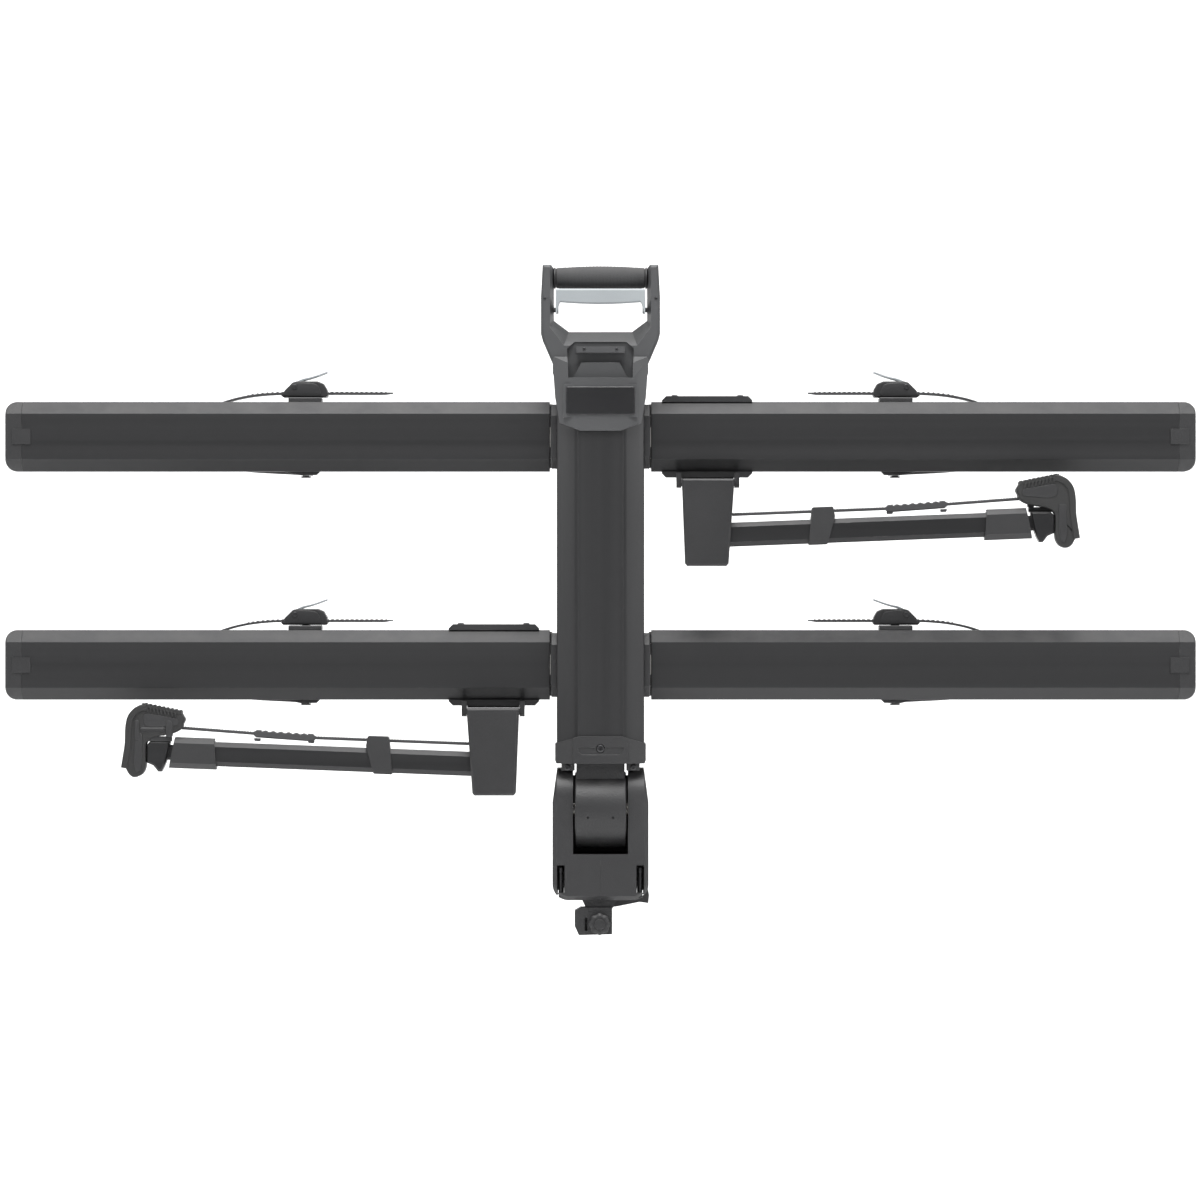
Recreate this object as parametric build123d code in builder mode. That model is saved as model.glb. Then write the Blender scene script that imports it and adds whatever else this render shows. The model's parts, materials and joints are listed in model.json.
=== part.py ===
from build123d import *
import os

# Two-bike platform rack for a 2 in hitch receiver, folded up against the car.
# +Z is up, +Y points to the car and the rack is seen from behind along +Y.
# The origin is the centre of the hitch pin hole in the shank. Sizes are in millimetres.

# --- clearances -------------------------------------------------------------------------
running_fit = 0.06  # radial clearance of every pin that something turns on
slide_fit = 0.6  # per side, between a sliding bar and its tube
part_gap = 0.4  # between bodies that pass close to each other
shell_gap = 0.3  # between a cover and the metal in it

# --- shank and hinge bracket ------------------------------------------------------------
shank_size = 50.8
shank_wall = 6.35
shank_corner = 4.0
shank_nose = 75.0  # length in front of the pin hole
pin_hole_r = 8.2
pivot_y = -270.0
pivot_z = 66.6
pivot_r = 8.0
cheek_in = 36.0  # inner face of each steel cheek
cheek_t = 8.0
cheek_r = 30.0
base_plate_y = 66.0  # rear face of the base plate, ahead of the pivot
base_plate_t = 9.0
base_plate_half = 36.0  # half height

# --- plastic covers of the hinge --------------------------------------------------------
cover_half = cheek_in + cheek_t + 13.6
cover_wall = 3.0
cover_front = -36.0  # towards the rear of the car, from the pivot
cover_top = 50.4
cover_round = 36.0
slot_half = cheek_in - 3.0
slot_bottom = 14.0
cover_bottom = -41.0
cover_corner = 19.0
corner_window_z = (-32.0, 1.0)
corner_window_x = (43.0, 52.4)
cover_chamfer = 5.0
cover_taper = 5.5

# --- spine ------------------------------------------------------------------------------
spine_half = 52.5
spine_front = -42.0
spine_back = 18.0
spine_crease_half = spine_half - 20.5
spine_flat_half = spine_crease_half - 5.0
spine_crease_y = -37.0
spine_edge_y = -27.0
spine_wall = 3.5
spine_bottom = 127.0
spine_top = 570.0
drum_half = slot_half - 2.3  # runs in the covers' slot
drum_r = 46.0
drum_wall = 5.0
neck_half = drum_half - 1.7
neck_y = (-26.0, 18.0)
spigot_half = spine_flat_half - 5.0
spigot_y = (-33.0, 12.0)
spigot_height = 60.0
collar_half = spine_half + 2.0
collar_bottom = 123.0
collar_side_top = 147.0
collar_mid_top = 156.0
collar_front = -44.5
collar_back = 21.0

# --- handle -----------------------------------------------------------------------------
handle_neck_half = spine_half + 4.9
handle_half = handle_neck_half + 14.1
handle_top = spine_top + 151.5
handle_neck_z = spine_top + 33.0
shoulder_z = spine_top + 67.0
skirt_z = spine_top - 48.0
skirt_side_z = spine_top - 8.0
window_half = handle_half - 15.5
window_bottom = spine_top + 71.5
window_floor_half = window_half - 18.0
window_side_z = spine_top + 85.0
post_y = (-33.0, 9.0)
body_y = (-46.0, 21.0)
grip_z = handle_top - 15.0
grip_y = -8.0
grip_r = 14.2
grip_end_r = 12.2
pocket_half = 40.0
pocket_z = (spine_top + 15.6, spine_top + 59.0)
pocket_depth = 12.0
lever_z = (grip_z - 32.5, grip_z - 17.0)
lever_y = (-35.0, -24.5)
lever_half = window_half - 2.0
lever_pivot_z = lever_z[0] - 6.0
lever_pivot_y = -12.0
lever_pin_r = 3.0
lever_leg = 3.5
badge_half = 41.4
badge_z = (skirt_z + 19.0, skirt_z + 53.0)
badge_t = 1.6
rod_r = 4.0
rod_gap = 0.8
sector_r = 24.0

# --- wheel trays ------------------------------------------------------------------------
tray_z = {"lower": 241.0, "upper": spine_top - 54.0}
tray_half = 42.0
tray_face_half = 27.5
tray_under = -8.0
tray_shoulder = 6.5
tray_lip = 26.0
tray_wall = 3.5
lip_width = 12.0
tray_inner_x = spine_half + 8.5
tray_end_x = 697.0
cap_length = 19.5
cap_corner = 13.0
clip_x = tray_end_x - 11.0
clip_size = 22.0
clip_half = 9.4
fold_x = tray_inner_x + 3.0
fold_y = tray_lip + 8.0
fold_pin_r = 4.0
lug_r = fold_pin_r + 2.5
lug_z = (tray_half - 16.0, tray_half - 5.0)
ear_z = (tray_half - 30.0, lug_z[0] - 0.6)
cradle_half_x = tray_inner_x - 1.0
cradle_half_z = tray_half - 3.5
cradle_y = (-20.0, 27.0)

# --- wheel straps -----------------------------------------------------------------------
strap_x = 356.4
strap_y = tray_lip + 14.0
strap_t = 3.0
strap_w = 25.0
strap_foot = 8.0  # the strap's length past its pin
strap_foot_r = (strap_foot**2 + (strap_w / 2) ** 2) ** 0.5  # its corners' reach as it swings
strap_top_z = tray_half + 11.0
strap_low_z = -tray_half - 3.0
strap_tail_x = 251.0
strap_loop_x = 507.5
strap_bend_x = 434.0
buckle_x = (strap_x - 26.9, strap_x + 29.6)
buckle_z = (tray_half + 6.0, tray_half + 25.5)
buckle_w = strap_w + 11.0
buckle_foot_half = 20.0
trunnion_r = 5.0
lever_hub = (strap_x + 13.0, tray_half + 20.0)
lever_hub_r = 5.0
hub_pin_r = 2.5

# --- frame arms -------------------------------------------------------------------------
arm_y = -28.0  # plane of the folded arm
arm_slope = 2.2  # degrees
arm_pivot = (tray_inner_x + 67.0, -tray_half - 77.5)  # x, and z from the tray's middle
arm_pin_r = 5.0
saddle_x = (arm_pivot[0] - 54.0, arm_pivot[0] + 55.0)
saddle_t = 7.0
saddle_back = tray_lip + 4.0
base_axis = (-10.0, -tray_half - 14.0)  # y, and z from the tray's middle
base_pin_r = 4.0
lug_t = 6.4
clevis_x = (arm_pivot[0] - 30.4, arm_pivot[0] + 32.6)
clevis_top_z = base_axis[1] + 4.5
tube_size = 29.0
tube_room = tube_size / 2 + 1.0  # half the clevis's slot
tube_back_round = 0.3 * tube_size
tube_swing_r = 2**0.5 * (tube_size / 2 - tube_back_round) + tube_back_round + 0.1  # its back end's reach
clevis_low_z = arm_pivot[1] - tube_room - 21.0
clevis_y = (arm_y - tube_room - 6.5, arm_y + tube_room + 6.5)
tube_chamfer = 5.5
tube_end = 345.0  # from the arm's pivot
collar_x = (tube_end - 12.0, tube_end + 42.0)
collar_size = tube_size + 8.0
bar_size = 18.0
bar_start = 95.0
jaw_half_y = tube_size / 2 + 3.0
knob_r = 9.0
knob_x = (tube_end + 48.5, tube_end + 79.0)
knob_z = 43.5
keeper_x = 121.0  # from the arm's pivot, as all sizes along the arm
cord_t = 3.2
cord_w = 8.0
cord_z = tube_size / 2 + 9.5  # above the tube's axis

sleeve_half = 4.8
sleeve_low = cord_z - sleeve_half - 2.0  # under the sleeve's feet

# --- anti-rattle screw ------------------------------------------------------------------
screw_x = -1.0
screw_z = -69.5
screw_r = 4.0
turner_r = 13.5
turner_y = (-42.0, -31.0)
foot_y = 160.0  # rear face of the foot, from the pivot
lug_y = (120.0, 130.0)


def front_plane(y):
    """Sketches here are seen from behind the car; extrusions grow towards -Y."""
    return Plane.XZ.offset(-y)


def save(piece, name):
    piece.label = name
    export_step(piece, f"parts/{name}.step")


def slab(outline, y_front, y_back):
    """A closed outline in X and Z, thick from y_front to y_back."""
    with BuildPart() as piece:
        with BuildSketch(front_plane(y_back)):
            with BuildLine():
                Polyline(*outline, close=True)
            make_face()
        extrude(amount=y_back - y_front)
    return piece.part


def mirrored(points):
    """A half outline, given from the middle outwards, joined to its mirror image."""
    return points + [(-x, z) for x, z in reversed(points)]


def block(x, y, z):
    """A box between pairs of limits."""
    return Pos((x[0] + x[1]) / 2, (y[0] + y[1]) / 2, (z[0] + z[1]) / 2) * Box(
        x[1] - x[0], y[1] - y[0], z[1] - z[0], mode=Mode.PRIVATE
    )


def rod(start, end, radius):
    """A round bar between two points."""
    axis = Vector(*end) - Vector(*start)
    return Plane(origin=start, z_dir=axis) * Cylinder(
        radius,
        axis.length,
        align=(Align.CENTER, Align.CENTER, Align.MIN),
        mode=Mode.PRIVATE,
    )


def spine_outline(y0):
    """The spine's section: a flat, two creases and two sloped flanks at the front."""
    half = [
        (spine_flat_half, y0 + spine_front),
        (spine_crease_half, y0 + spine_crease_y),
        (spine_half, y0 + spine_edge_y),
        (spine_half, y0 + spine_back),
    ]
    return mirrored(half)


def spine_solid(z_low, z_high):
    """The spine's outer form as a solid bar, used to cut what wraps round it."""
    with BuildPart() as piece:
        with BuildSketch(Plane.XY.offset(z_low)):
            with BuildLine():
                Polyline(*spine_outline(pivot_y), close=True)
            make_face()
        extrude(amount=z_high - z_low)
    return piece.part


# --- fixed pieces -----------------------------------------------------------------------


def receiver_shank():
    length = shank_nose - (pivot_y + base_plate_y + base_plate_t)
    with BuildPart() as piece:
        with BuildSketch(front_plane(shank_nose)):
            RectangleRounded(shank_size, shank_size, shank_corner)
            RectangleRounded(
                shank_size - 2 * shank_wall,
                shank_size - 2 * shank_wall,
                shank_corner / 2,
                mode=Mode.SUBTRACT,
            )
        extrude(amount=length)
        with Locations(Plane.YZ):
            Hole(pin_hole_r)
    return piece.part


def pivot_bracket():
    y_base = pivot_y + base_plate_y
    with BuildPart() as piece:
        with BuildSketch(front_plane(y_base + base_plate_t)):
            RectangleRounded(2 * (cheek_in + cheek_t), 2 * base_plate_half, 5)
        extrude(amount=base_plate_t)
        for inner in (cheek_in, -cheek_in - cheek_t):
            with BuildSketch(Plane.YZ.offset(inner)):
                with BuildLine():
                    Polyline(
                        (y_base, -base_plate_half),
                        (y_base, base_plate_half),
                        (pivot_y + cheek_r / 2, pivot_z + cheek_r / 1.3),
                        (pivot_y - cheek_r, pivot_z),
                        (pivot_y - cheek_r / 2, -base_plate_half / 2),
                        close=True,
                    )
                make_face()
                with Locations((pivot_y, pivot_z)):
                    Circle(cheek_r)
                with Locations((pivot_y, pivot_z)):
                    Circle(pivot_r, mode=Mode.SUBTRACT)
            extrude(amount=cheek_t)
    return piece.part


def housing_half():
    """One plastic cover, at +X: an ear round its steel cheek and half of the lower box."""
    y0 = pivot_y
    y_front = y0 + cover_front
    y_back = y0 + base_plate_y + base_plate_t
    z_top = pivot_z + cover_top
    cavity_y = (y_front + cover_wall, y_back - cover_wall)
    with BuildPart() as piece:
        with BuildSketch(Plane.YZ.offset(slot_half)):
            with BuildLine():
                Polyline(
                    (y_front, cover_bottom),
                    (y_front, z_top),
                    (y0 + cover_round, z_top),
                    (y_back, base_plate_half + 3 * cover_wall),
                    (y_back, cover_bottom),
                    close=True,
                )
            make_face()
            tip = vertices().group_by(Axis.X)[0].sort_by(Axis.Y)[-1:]
            fillet(tip, radius=cover_round)
        extrude(amount=cover_half - slot_half)
        add(block((0.1, slot_half), (y_front, y_back), (cover_bottom, slot_bottom)))
        rounded = piece.edges().filter_by(Axis.Y).group_by(Axis.Z)[0].sort_by(Axis.X)[-1:]
        fillet(rounded, radius=cover_corner)
        rim = piece.faces().sort_by(Axis.X)[-1].edges()
        chamfer(rim, length=cover_chamfer)
        # the ears narrow towards their tops
        taper = [
            (cover_half + 1, pivot_z + 10),
            (cover_half, pivot_z + 10),
            (cover_half - cover_taper, z_top + 1),
            (cover_half + 1, z_top + 1),
        ]
        add(slab(taper, y_front - 1, y_back + 1), mode=Mode.SUBTRACT)
        # room for the steel cheek, and the hollow lower box
        cheek_room = (cheek_in - shell_gap, cheek_in + cheek_t + shell_gap)
        with BuildSketch(Plane.YZ.offset(cheek_room[0])):
            with BuildLine():
                Polyline(
                    (y_back + 1, -base_plate_half - shell_gap),
                    (y_back + 1, base_plate_half + shell_gap),
                    (y0 + cheek_r / 2 + 1, pivot_z + cheek_r / 1.3 + 1),
                    (y0 - cheek_r - shell_gap, pivot_z),
                    (y0 - cheek_r / 2 - 2, -base_plate_half / 2 - 2),
                    close=True,
                )
            make_face()
            with Locations((y0, pivot_z)):
                Circle(cheek_r + shell_gap)
        extrude(amount=cheek_room[1] - cheek_room[0], mode=Mode.SUBTRACT)
        add(
            block(
                (-1, cover_half - 2 * cover_wall),
                cavity_y,
                (cover_bottom + cover_wall, slot_bottom - cover_wall),
            ),
            mode=Mode.SUBTRACT,
        )
        add(
            block(
                (-1, cheek_room[1]),
                (y0 + base_plate_y - shell_gap, y_back + 1),
                (-base_plate_half - shell_gap, base_plate_half + shell_gap),
            ),
            mode=Mode.SUBTRACT,
        )
        add(block(corner_window_x, (y_front - 1, y_front + 14), corner_window_z), mode=Mode.SUBTRACT)
        pin_ends = [(x, y0, pivot_z) for x in (slot_half - 1, cheek_room[1] + 3)]
        add(rod(*pin_ends, pivot_r + shell_gap), mode=Mode.SUBTRACT)
        # a wall closes the slot behind the drum
        wall_y = y0 + drum_r + 3
        add(block((0.1, slot_half + 1), (wall_y, wall_y + cover_wall), (slot_bottom - 1, z_top - 10)))
    return piece.part


def pivot_pin():
    """The hinge pin, keyed to the cheeks, with the latch sector at its middle."""
    with BuildPart() as piece:
        end_x = cheek_in + cheek_t + 2
        add(rod((-end_x, pivot_y, pivot_z), (end_x, pivot_y, pivot_z), pivot_r))
        add(rod((-6, pivot_y, pivot_z), (6, pivot_y, pivot_z), sector_r))
        notch = (pivot_y - 5, pivot_y + 5)
        add(block((-7, 7), notch, (pivot_z + sector_r - 4, pivot_z + sector_r + 1)), mode=Mode.SUBTRACT)
    return piece.part


def housing_bolts():
    """Two screws, seen in the cover's corner windows."""
    x = corner_window_x[0] + 4.7
    y = pivot_y + cover_front + 8
    floor = cover_bottom + cover_wall
    with BuildPart() as piece:
        for side in (-1, 1):
            add(rod((side * x, y, floor), (side * x, y, -8), 2.6))
            with Locations((side * x, y, -5)):
                Cylinder(3.6, 6)
            with Locations((side * x, y, -2.9)):
                Cylinder(1.6, 2, mode=Mode.SUBTRACT)
    return piece.part


def knob_bracket():
    """The block under the hinge that carries the anti-rattle screw, and its strap hook."""
    y0 = pivot_y
    neck = [(-22, -41), (20, -41), (14, -52), (-17, -52)]
    block_outline = [(-31, -54), (-24, -50), (14, -50), (14, -82), (-26, -83), (-31, -72)]
    corner_x, corner_z = cover_half - cover_corner, cover_bottom + cover_corner
    around = [Vector(cover_corner + part_gap, 0).rotate(Axis.Z, angle) for angle in range(-90, -10, 12)]
    hook = [(10, cover_bottom)]
    hook += [(corner_x + v.X, corner_z + v.Y) for v in around]
    hook += [
        (cover_half + 0.9, cover_bottom + 5),
        (cover_half, cover_bottom - 5),
        (cover_half - 10.6, cover_bottom - 3.6),
        (20, cover_bottom - 9),
        (10, cover_bottom - 10),
    ]
    with BuildPart() as piece:
        add(slab(neck, y0 - 24, y0 + 8))
        add(slab(block_outline, y0 - 30, y0 + 8))
        add(slab(hook, y0 + 2, y0 + 8))
        add(block((screw_x - 14, screw_x + 14), (y0 - 31, y0 - 29), (-56, -50)), mode=Mode.SUBTRACT)
        bore = rod((screw_x, y0 - 40, screw_z), (screw_x, y0 + 10, screw_z), screw_r + running_fit)
        add(bore, mode=Mode.SUBTRACT)
        add(block((-19, -15.6), (y0 - 31, y0 - 20), (-78, -62)), mode=Mode.SUBTRACT)
    with BuildPart() as guide:
        y_low = y0 + lug_y[0]
        add(block((screw_x - 11, screw_x + 11), (y_low, y0 + lug_y[1]), (-81, -shank_size / 2)))
        y_high = y0 + lug_y[1]
        hole = rod((screw_x, y_low - 1, screw_z), (screw_x, y_high + 1, screw_z), screw_r + running_fit)
        add(hole, mode=Mode.SUBTRACT)
    return Compound([piece.part, guide.part])


def tightening_knob():
    """A lobed knob on the end of its long screw."""
    y0 = pivot_y
    with BuildPart() as piece:
        with BuildSketch(Plane.XZ.offset(-(y0 + turner_y[1]))):
            with Locations((screw_x, screw_z)):
                Circle(turner_r)
            with Locations((screw_x, screw_z)):
                with PolarLocations(turner_r + 1.5, 8):
                    Circle(3.2, mode=Mode.SUBTRACT)
        extrude(amount=turner_y[1] - turner_y[0])
        chamfer(piece.faces().sort_by(Axis.Y)[0].edges(), length=1.2)
        add(rod((screw_x, y0 + turner_y[1], screw_z), (screw_x, y0 + foot_y - part_gap, screw_z), screw_r))
    return piece.part


def clamp_foot():
    """The foot that the screw drives against the receiver's rim."""
    y = pivot_y + foot_y
    with BuildPart() as piece:
        outline = [(-16, -28.5), (14, -28.5), (14, -66), (8, -78), (-10, -78), (-16, -66)]
        add(slab(outline, y, y + 8))
        chamfer(piece.faces().sort_by(Axis.Y)[-1].edges(), length=1.5)
    return piece.part


# --- pieces of the folding frame --------------------------------------------------------


def spine_beam():
    with BuildPart() as piece:
        with BuildSketch(Plane.XY.offset(spine_bottom)):
            with BuildLine():
                Polyline(*spine_outline(pivot_y), close=True)
            make_face()
            fillet(vertices().group_by(Axis.X)[0] + vertices().group_by(Axis.X)[-1], radius=2.5)
            offset(amount=-spine_wall, kind=Kind.INTERSECTION, mode=Mode.SUBTRACT)
        extrude(amount=spine_top - spine_bottom)
    return piece.part


def hinge_drum():
    """Hollow drum, neck and spigot: the lower end of the spine."""
    y0 = pivot_y
    neck_low = pivot_z + drum_r - 8
    spigot_top = spine_bottom + spigot_height
    with BuildPart() as piece:
        add(rod((-drum_half, y0, pivot_z), (drum_half, y0, pivot_z), drum_r))
        chamfer(piece.edges().filter_by(GeomType.CIRCLE), length=1.5)
        add(block((-neck_half, neck_half), (y0 + neck_y[0], y0 + neck_y[1]), (neck_low, spine_bottom)))
        spigot_limits = (y0 + spigot_y[0], y0 + spigot_y[1])
        add(block((-spigot_half, spigot_half), spigot_limits, (spine_bottom, spigot_top)))
        inner = drum_half - drum_wall - 6
        add(rod((-inner, y0, pivot_z), (inner, y0, pivot_z), drum_r - drum_wall - 6), mode=Mode.SUBTRACT)
        bore = rod((-drum_half, y0, pivot_z), (drum_half, y0, pivot_z), pivot_r + running_fit)
        add(bore, mode=Mode.SUBTRACT)
        rod_bore = rod((0, y0, pivot_z + 20), (0, y0, spigot_top), rod_r + rod_gap)
        add(rod_bore, mode=Mode.SUBTRACT)
        for x in (-15, 15):
            hole = rod((x, y0 - drum_r - 1, pivot_z - 8), (x, y0 - drum_r + 3, pivot_z - 8), 1.5)
            add(hole, mode=Mode.SUBTRACT)
    return piece.part


def lower_collar():
    """Plastic collar that covers the joint of spine and drum."""
    y0 = pivot_y
    outline = mirrored(
        [
            (collar_half - 1.5, collar_bottom),
            (collar_half, collar_bottom + 4),
            (collar_half, collar_side_top),
            (25, collar_mid_top),
        ]
    )
    smile = mirrored([(22, 133.8), (26.5, 137), (27.5, 142.5)])
    with BuildPart() as piece:
        add(slab(outline, y0 + collar_front, y0 + collar_back))
        # the front follows the spine's flanks
        for side in (-1, 1):
            wedge = [
                (side * (spine_crease_half + 1), y0 + collar_front - 1),
                (side * (spine_crease_half + 1), y0 + spine_crease_y - 2.5),
                (side * (collar_half + 1), y0 + spine_edge_y - 2.5),
                (side * (collar_half + 1), y0 + collar_front - 1),
            ]
            with BuildSketch(Plane.XY.offset(collar_bottom - 1)):
                with BuildLine():
                    Polyline(*wedge, close=True)
                make_face()
            extrude(amount=collar_mid_top - collar_bottom + 2, mode=Mode.SUBTRACT)
        add(spine_solid(spine_bottom, collar_mid_top + 1), mode=Mode.SUBTRACT)
        neck_limits = (y0 + neck_y[0], y0 + neck_y[1])
        neck = block((-neck_half, neck_half), neck_limits, (collar_bottom - 1, spine_bottom + 1))
        add(neck, mode=Mode.SUBTRACT)
        add(slab(smile, y0 + collar_front - 1, y0 + collar_front + 1), mode=Mode.SUBTRACT)
        hole = rod((0, y0 + collar_front - 1, 141), (0, y0 + spine_front, 141), 5.4)
        add(hole, mode=Mode.SUBTRACT)
        for side in (-1, 1):
            tab = sorted((side * 31, side * 47))
            add(block(tab, (y0 - 32, y0 - 20), (collar_bottom - 8.5, collar_bottom)))
    return piece.part


def handle_frame():
    """The moulded head: a fork for the grip, a body round the spine and a front skirt."""
    y0 = pivot_y
    outer = mirrored(
        [
            (24, skirt_z),
            (49, skirt_z + 9.5),
            (54.5, skirt_side_z),
            (handle_neck_half, handle_neck_z),
            (handle_neck_half, handle_neck_z + 4),
            (handle_neck_half - 2, handle_neck_z + 8),
        ]
    )
    fork = mirrored(
        [
            (handle_neck_half, handle_neck_z - 12),
            (handle_neck_half, handle_neck_z),
            (handle_half - 2.0, shoulder_z - 6),
            (handle_half, shoulder_z + 2),
            (handle_half, 684),
            (handle_half - 2.0, handle_top),
            (window_half + 3, handle_top),
            (window_half, handle_top - 4),
            (window_half, window_side_z),
            (window_floor_half, window_bottom),
        ]
    )
    pocket = mirrored(
        [
            (pocket_half - 1.5, pocket_z[0]),
            (pocket_half, pocket_z[1] - 8),
            (pocket_half - 9, pocket_z[1]),
        ]
    )
    ramp = mirrored([(33, pocket_z[0] - 1), (23, pocket_z[0] + 18.4)])
    with BuildPart() as body:
        add(slab(outer, y0 + body_y[0], y0 + body_y[1]))
        # flanks like the spine's, with a flat pad left for the badge
        for side in (-1, 1):
            wedge = [
                (side * (spine_crease_half + 1), y0 + body_y[0] - 1),
                (side * (spine_crease_half + 1), y0 + body_y[0]),
                (side * (handle_neck_half + 1), y0 + body_y[0] + 12),
                (side * (handle_neck_half + 1), y0 + body_y[0] - 1),
            ]
            with BuildSketch(Plane.XY.offset(skirt_z - 1)):
                with BuildLine():
                    Polyline(*wedge, close=True)
                make_face()
            extrude(amount=handle_neck_z - skirt_z + 40, mode=Mode.SUBTRACT)
        pad_x = (-badge_half - 3, badge_half + 3)
        add(block(pad_x, (y0 + body_y[0], y0 + body_y[0] + 12), (badge_z[0] - 3, badge_z[1] + 3)))
    # the hand's opening widens towards the front
    low_half = window_floor_half + 6
    wide_half = window_half + 4.8
    front_window = mirrored(
        [(low_half, window_bottom - 17), (wide_half, window_side_z - 9), (wide_half, handle_top + 1)]
    )
    back_window = mirrored(
        [(window_floor_half, window_bottom), (window_half, window_side_z), (window_half, handle_top + 1)]
    )
    with BuildPart() as funnel:
        for y, outline in ((post_y[0] - 0.1, front_window), (post_y[0] + 20, back_window)):
            with BuildSketch(front_plane(y0 + y)):
                with BuildLine():
                    Polyline(*outline, close=True)
                make_face()
        loft(ruled=True)
    with BuildPart() as piece:
        add(slab(fork, y0 + post_y[0], y0 + post_y[1]))
        chamfer(piece.faces().sort_by(Axis.Y)[0].edges(), length=3)
        chamfer(piece.faces().sort_by(Axis.Y)[-1].edges(), length=3)
        add(funnel.part, mode=Mode.SUBTRACT)
        add(body.part)
        front_y = y0 + body_y[0] - 1
        top_cut = [
            (front_y, handle_neck_z - 3),
            (front_y, handle_neck_z + 37),
            (y0 + post_y[0], handle_neck_z + 37),
            (y0 + post_y[0], handle_neck_z + 10),
        ]
        with BuildSketch(Plane.YZ.offset(-handle_half)):
            with BuildLine():
                Polyline(*top_cut, close=True)
            make_face()
        extrude(amount=2 * handle_half, mode=Mode.SUBTRACT)
        add(spine_solid(skirt_z - 1, spine_top), mode=Mode.SUBTRACT)
        behind_y = (y0 + spine_edge_y, y0 + body_y[1] + 1)
        behind = block((-handle_half, handle_half), behind_y, (skirt_z - 1, skirt_side_z - 2))
        add(behind, mode=Mode.SUBTRACT)
        add(slab(pocket, y0 + body_y[0] - 1, y0 + body_y[0] + pocket_depth + 8), mode=Mode.SUBTRACT)
        add(block((-29, 29), (y0 - 40, y0 - 26), (pocket_z[1] - 13.4, pocket_z[1] - 6.2)))
        add(slab(ramp, y0 - 36, y0 - 24))
        rod_bore = rod((0, y0, spine_top - 1), (0, y0, window_bottom + 2), rod_r + rod_gap)
        add(rod_bore, mode=Mode.SUBTRACT)
        for side in (-1, 1):
            inner = side * (window_half - 3)
            outer_x = side * (window_half + 6)
            z = lever_pivot_z
            y = y0 + lever_pivot_y
            add(rod((inner, y, z), (outer_x, y, z), lever_pin_r))
    return piece.part


def handle_grip():
    """A barrel between the two posts, fuller at the middle."""
    with BuildPart() as piece:
        with BuildSketch(Plane.XY):
            with BuildLine():
                line = Line((-window_half, 0), (-window_half, grip_end_r))
                top = ThreePointArc(line @ 1, (0, grip_r), (window_half, grip_end_r))
                Polyline(top @ 1, (window_half, 0), (-window_half, 0))
            make_face()
        revolve(axis=Axis.X)
    return piece.part.moved(Location((0, pivot_y + grip_y, grip_z)))


def badge_plate():
    y = pivot_y + body_y[0]
    with BuildPart() as piece:
        with BuildSketch(front_plane(y)):
            with Locations((0, (badge_z[0] + badge_z[1]) / 2)):
                RectangleRounded(2 * badge_half, badge_z[1] - badge_z[0], 3)
        extrude(amount=badge_t)
        chamfer(piece.faces().sort_by(Axis.Y)[0].edges(), length=0.8)
    return piece.part


def release_lever():
    """A U-shaped trigger under the grip."""
    y0 = pivot_y
    y = y0 + lever_pivot_y
    bar = [
        (-lever_half, lever_z[1]),
        (lever_half, lever_z[1]),
        (lever_half, lever_pivot_z),
        (lever_half - 7, lever_z[0]),
        (-lever_half + 7, lever_z[0]),
        (-lever_half, lever_pivot_z),
    ]
    with BuildPart() as piece:
        add(slab(bar, y0 + lever_y[0], y0 + lever_y[1]))
        chamfer(piece.faces().sort_by(Axis.Y)[0].edges().filter_by(Axis.X), length=2.5)
        for side in (-1, 1):
            leg_x = lever_half - lever_leg if side > 0 else -lever_half
            with BuildSketch(Plane.YZ.offset(leg_x)):
                with BuildLine():
                    Polyline(
                        (y0 + lever_y[0] + 1, lever_z[0] - 2),
                        (y0 + lever_y[1], lever_z[0] + 8),
                        (y0 + lever_y[1] + 6, lever_z[0] + 6),
                        (y + 4, lever_pivot_z),
                        (y - 4, lever_pivot_z - 3),
                        close=True,
                    )
                make_face()
                with Locations((y, lever_pivot_z)):
                    Circle(lever_pin_r + 2)
            extrude(amount=lever_leg)
        pin = rod((-lever_half, y, lever_pivot_z), (lever_half, y, lever_pivot_z), lever_pin_r + running_fit)
        add(pin, mode=Mode.SUBTRACT)
    return piece.part


def release_rod():
    """Pull rod with the latch pawl at its foot, just clear of the sector."""
    pawl_z = pivot_z + sector_r + part_gap
    with BuildPart() as piece:
        add(rod((0, pivot_y, pawl_z + 4), (0, pivot_y, window_bottom - 8), rod_r))
        pawl_half = rod_r * 0.7
        pawl_y = (pivot_y - pawl_half, pivot_y + pawl_half)
        add(block((-pawl_half, pawl_half), pawl_y, (pawl_z, pawl_z + 8)))
    return piece.part


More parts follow.
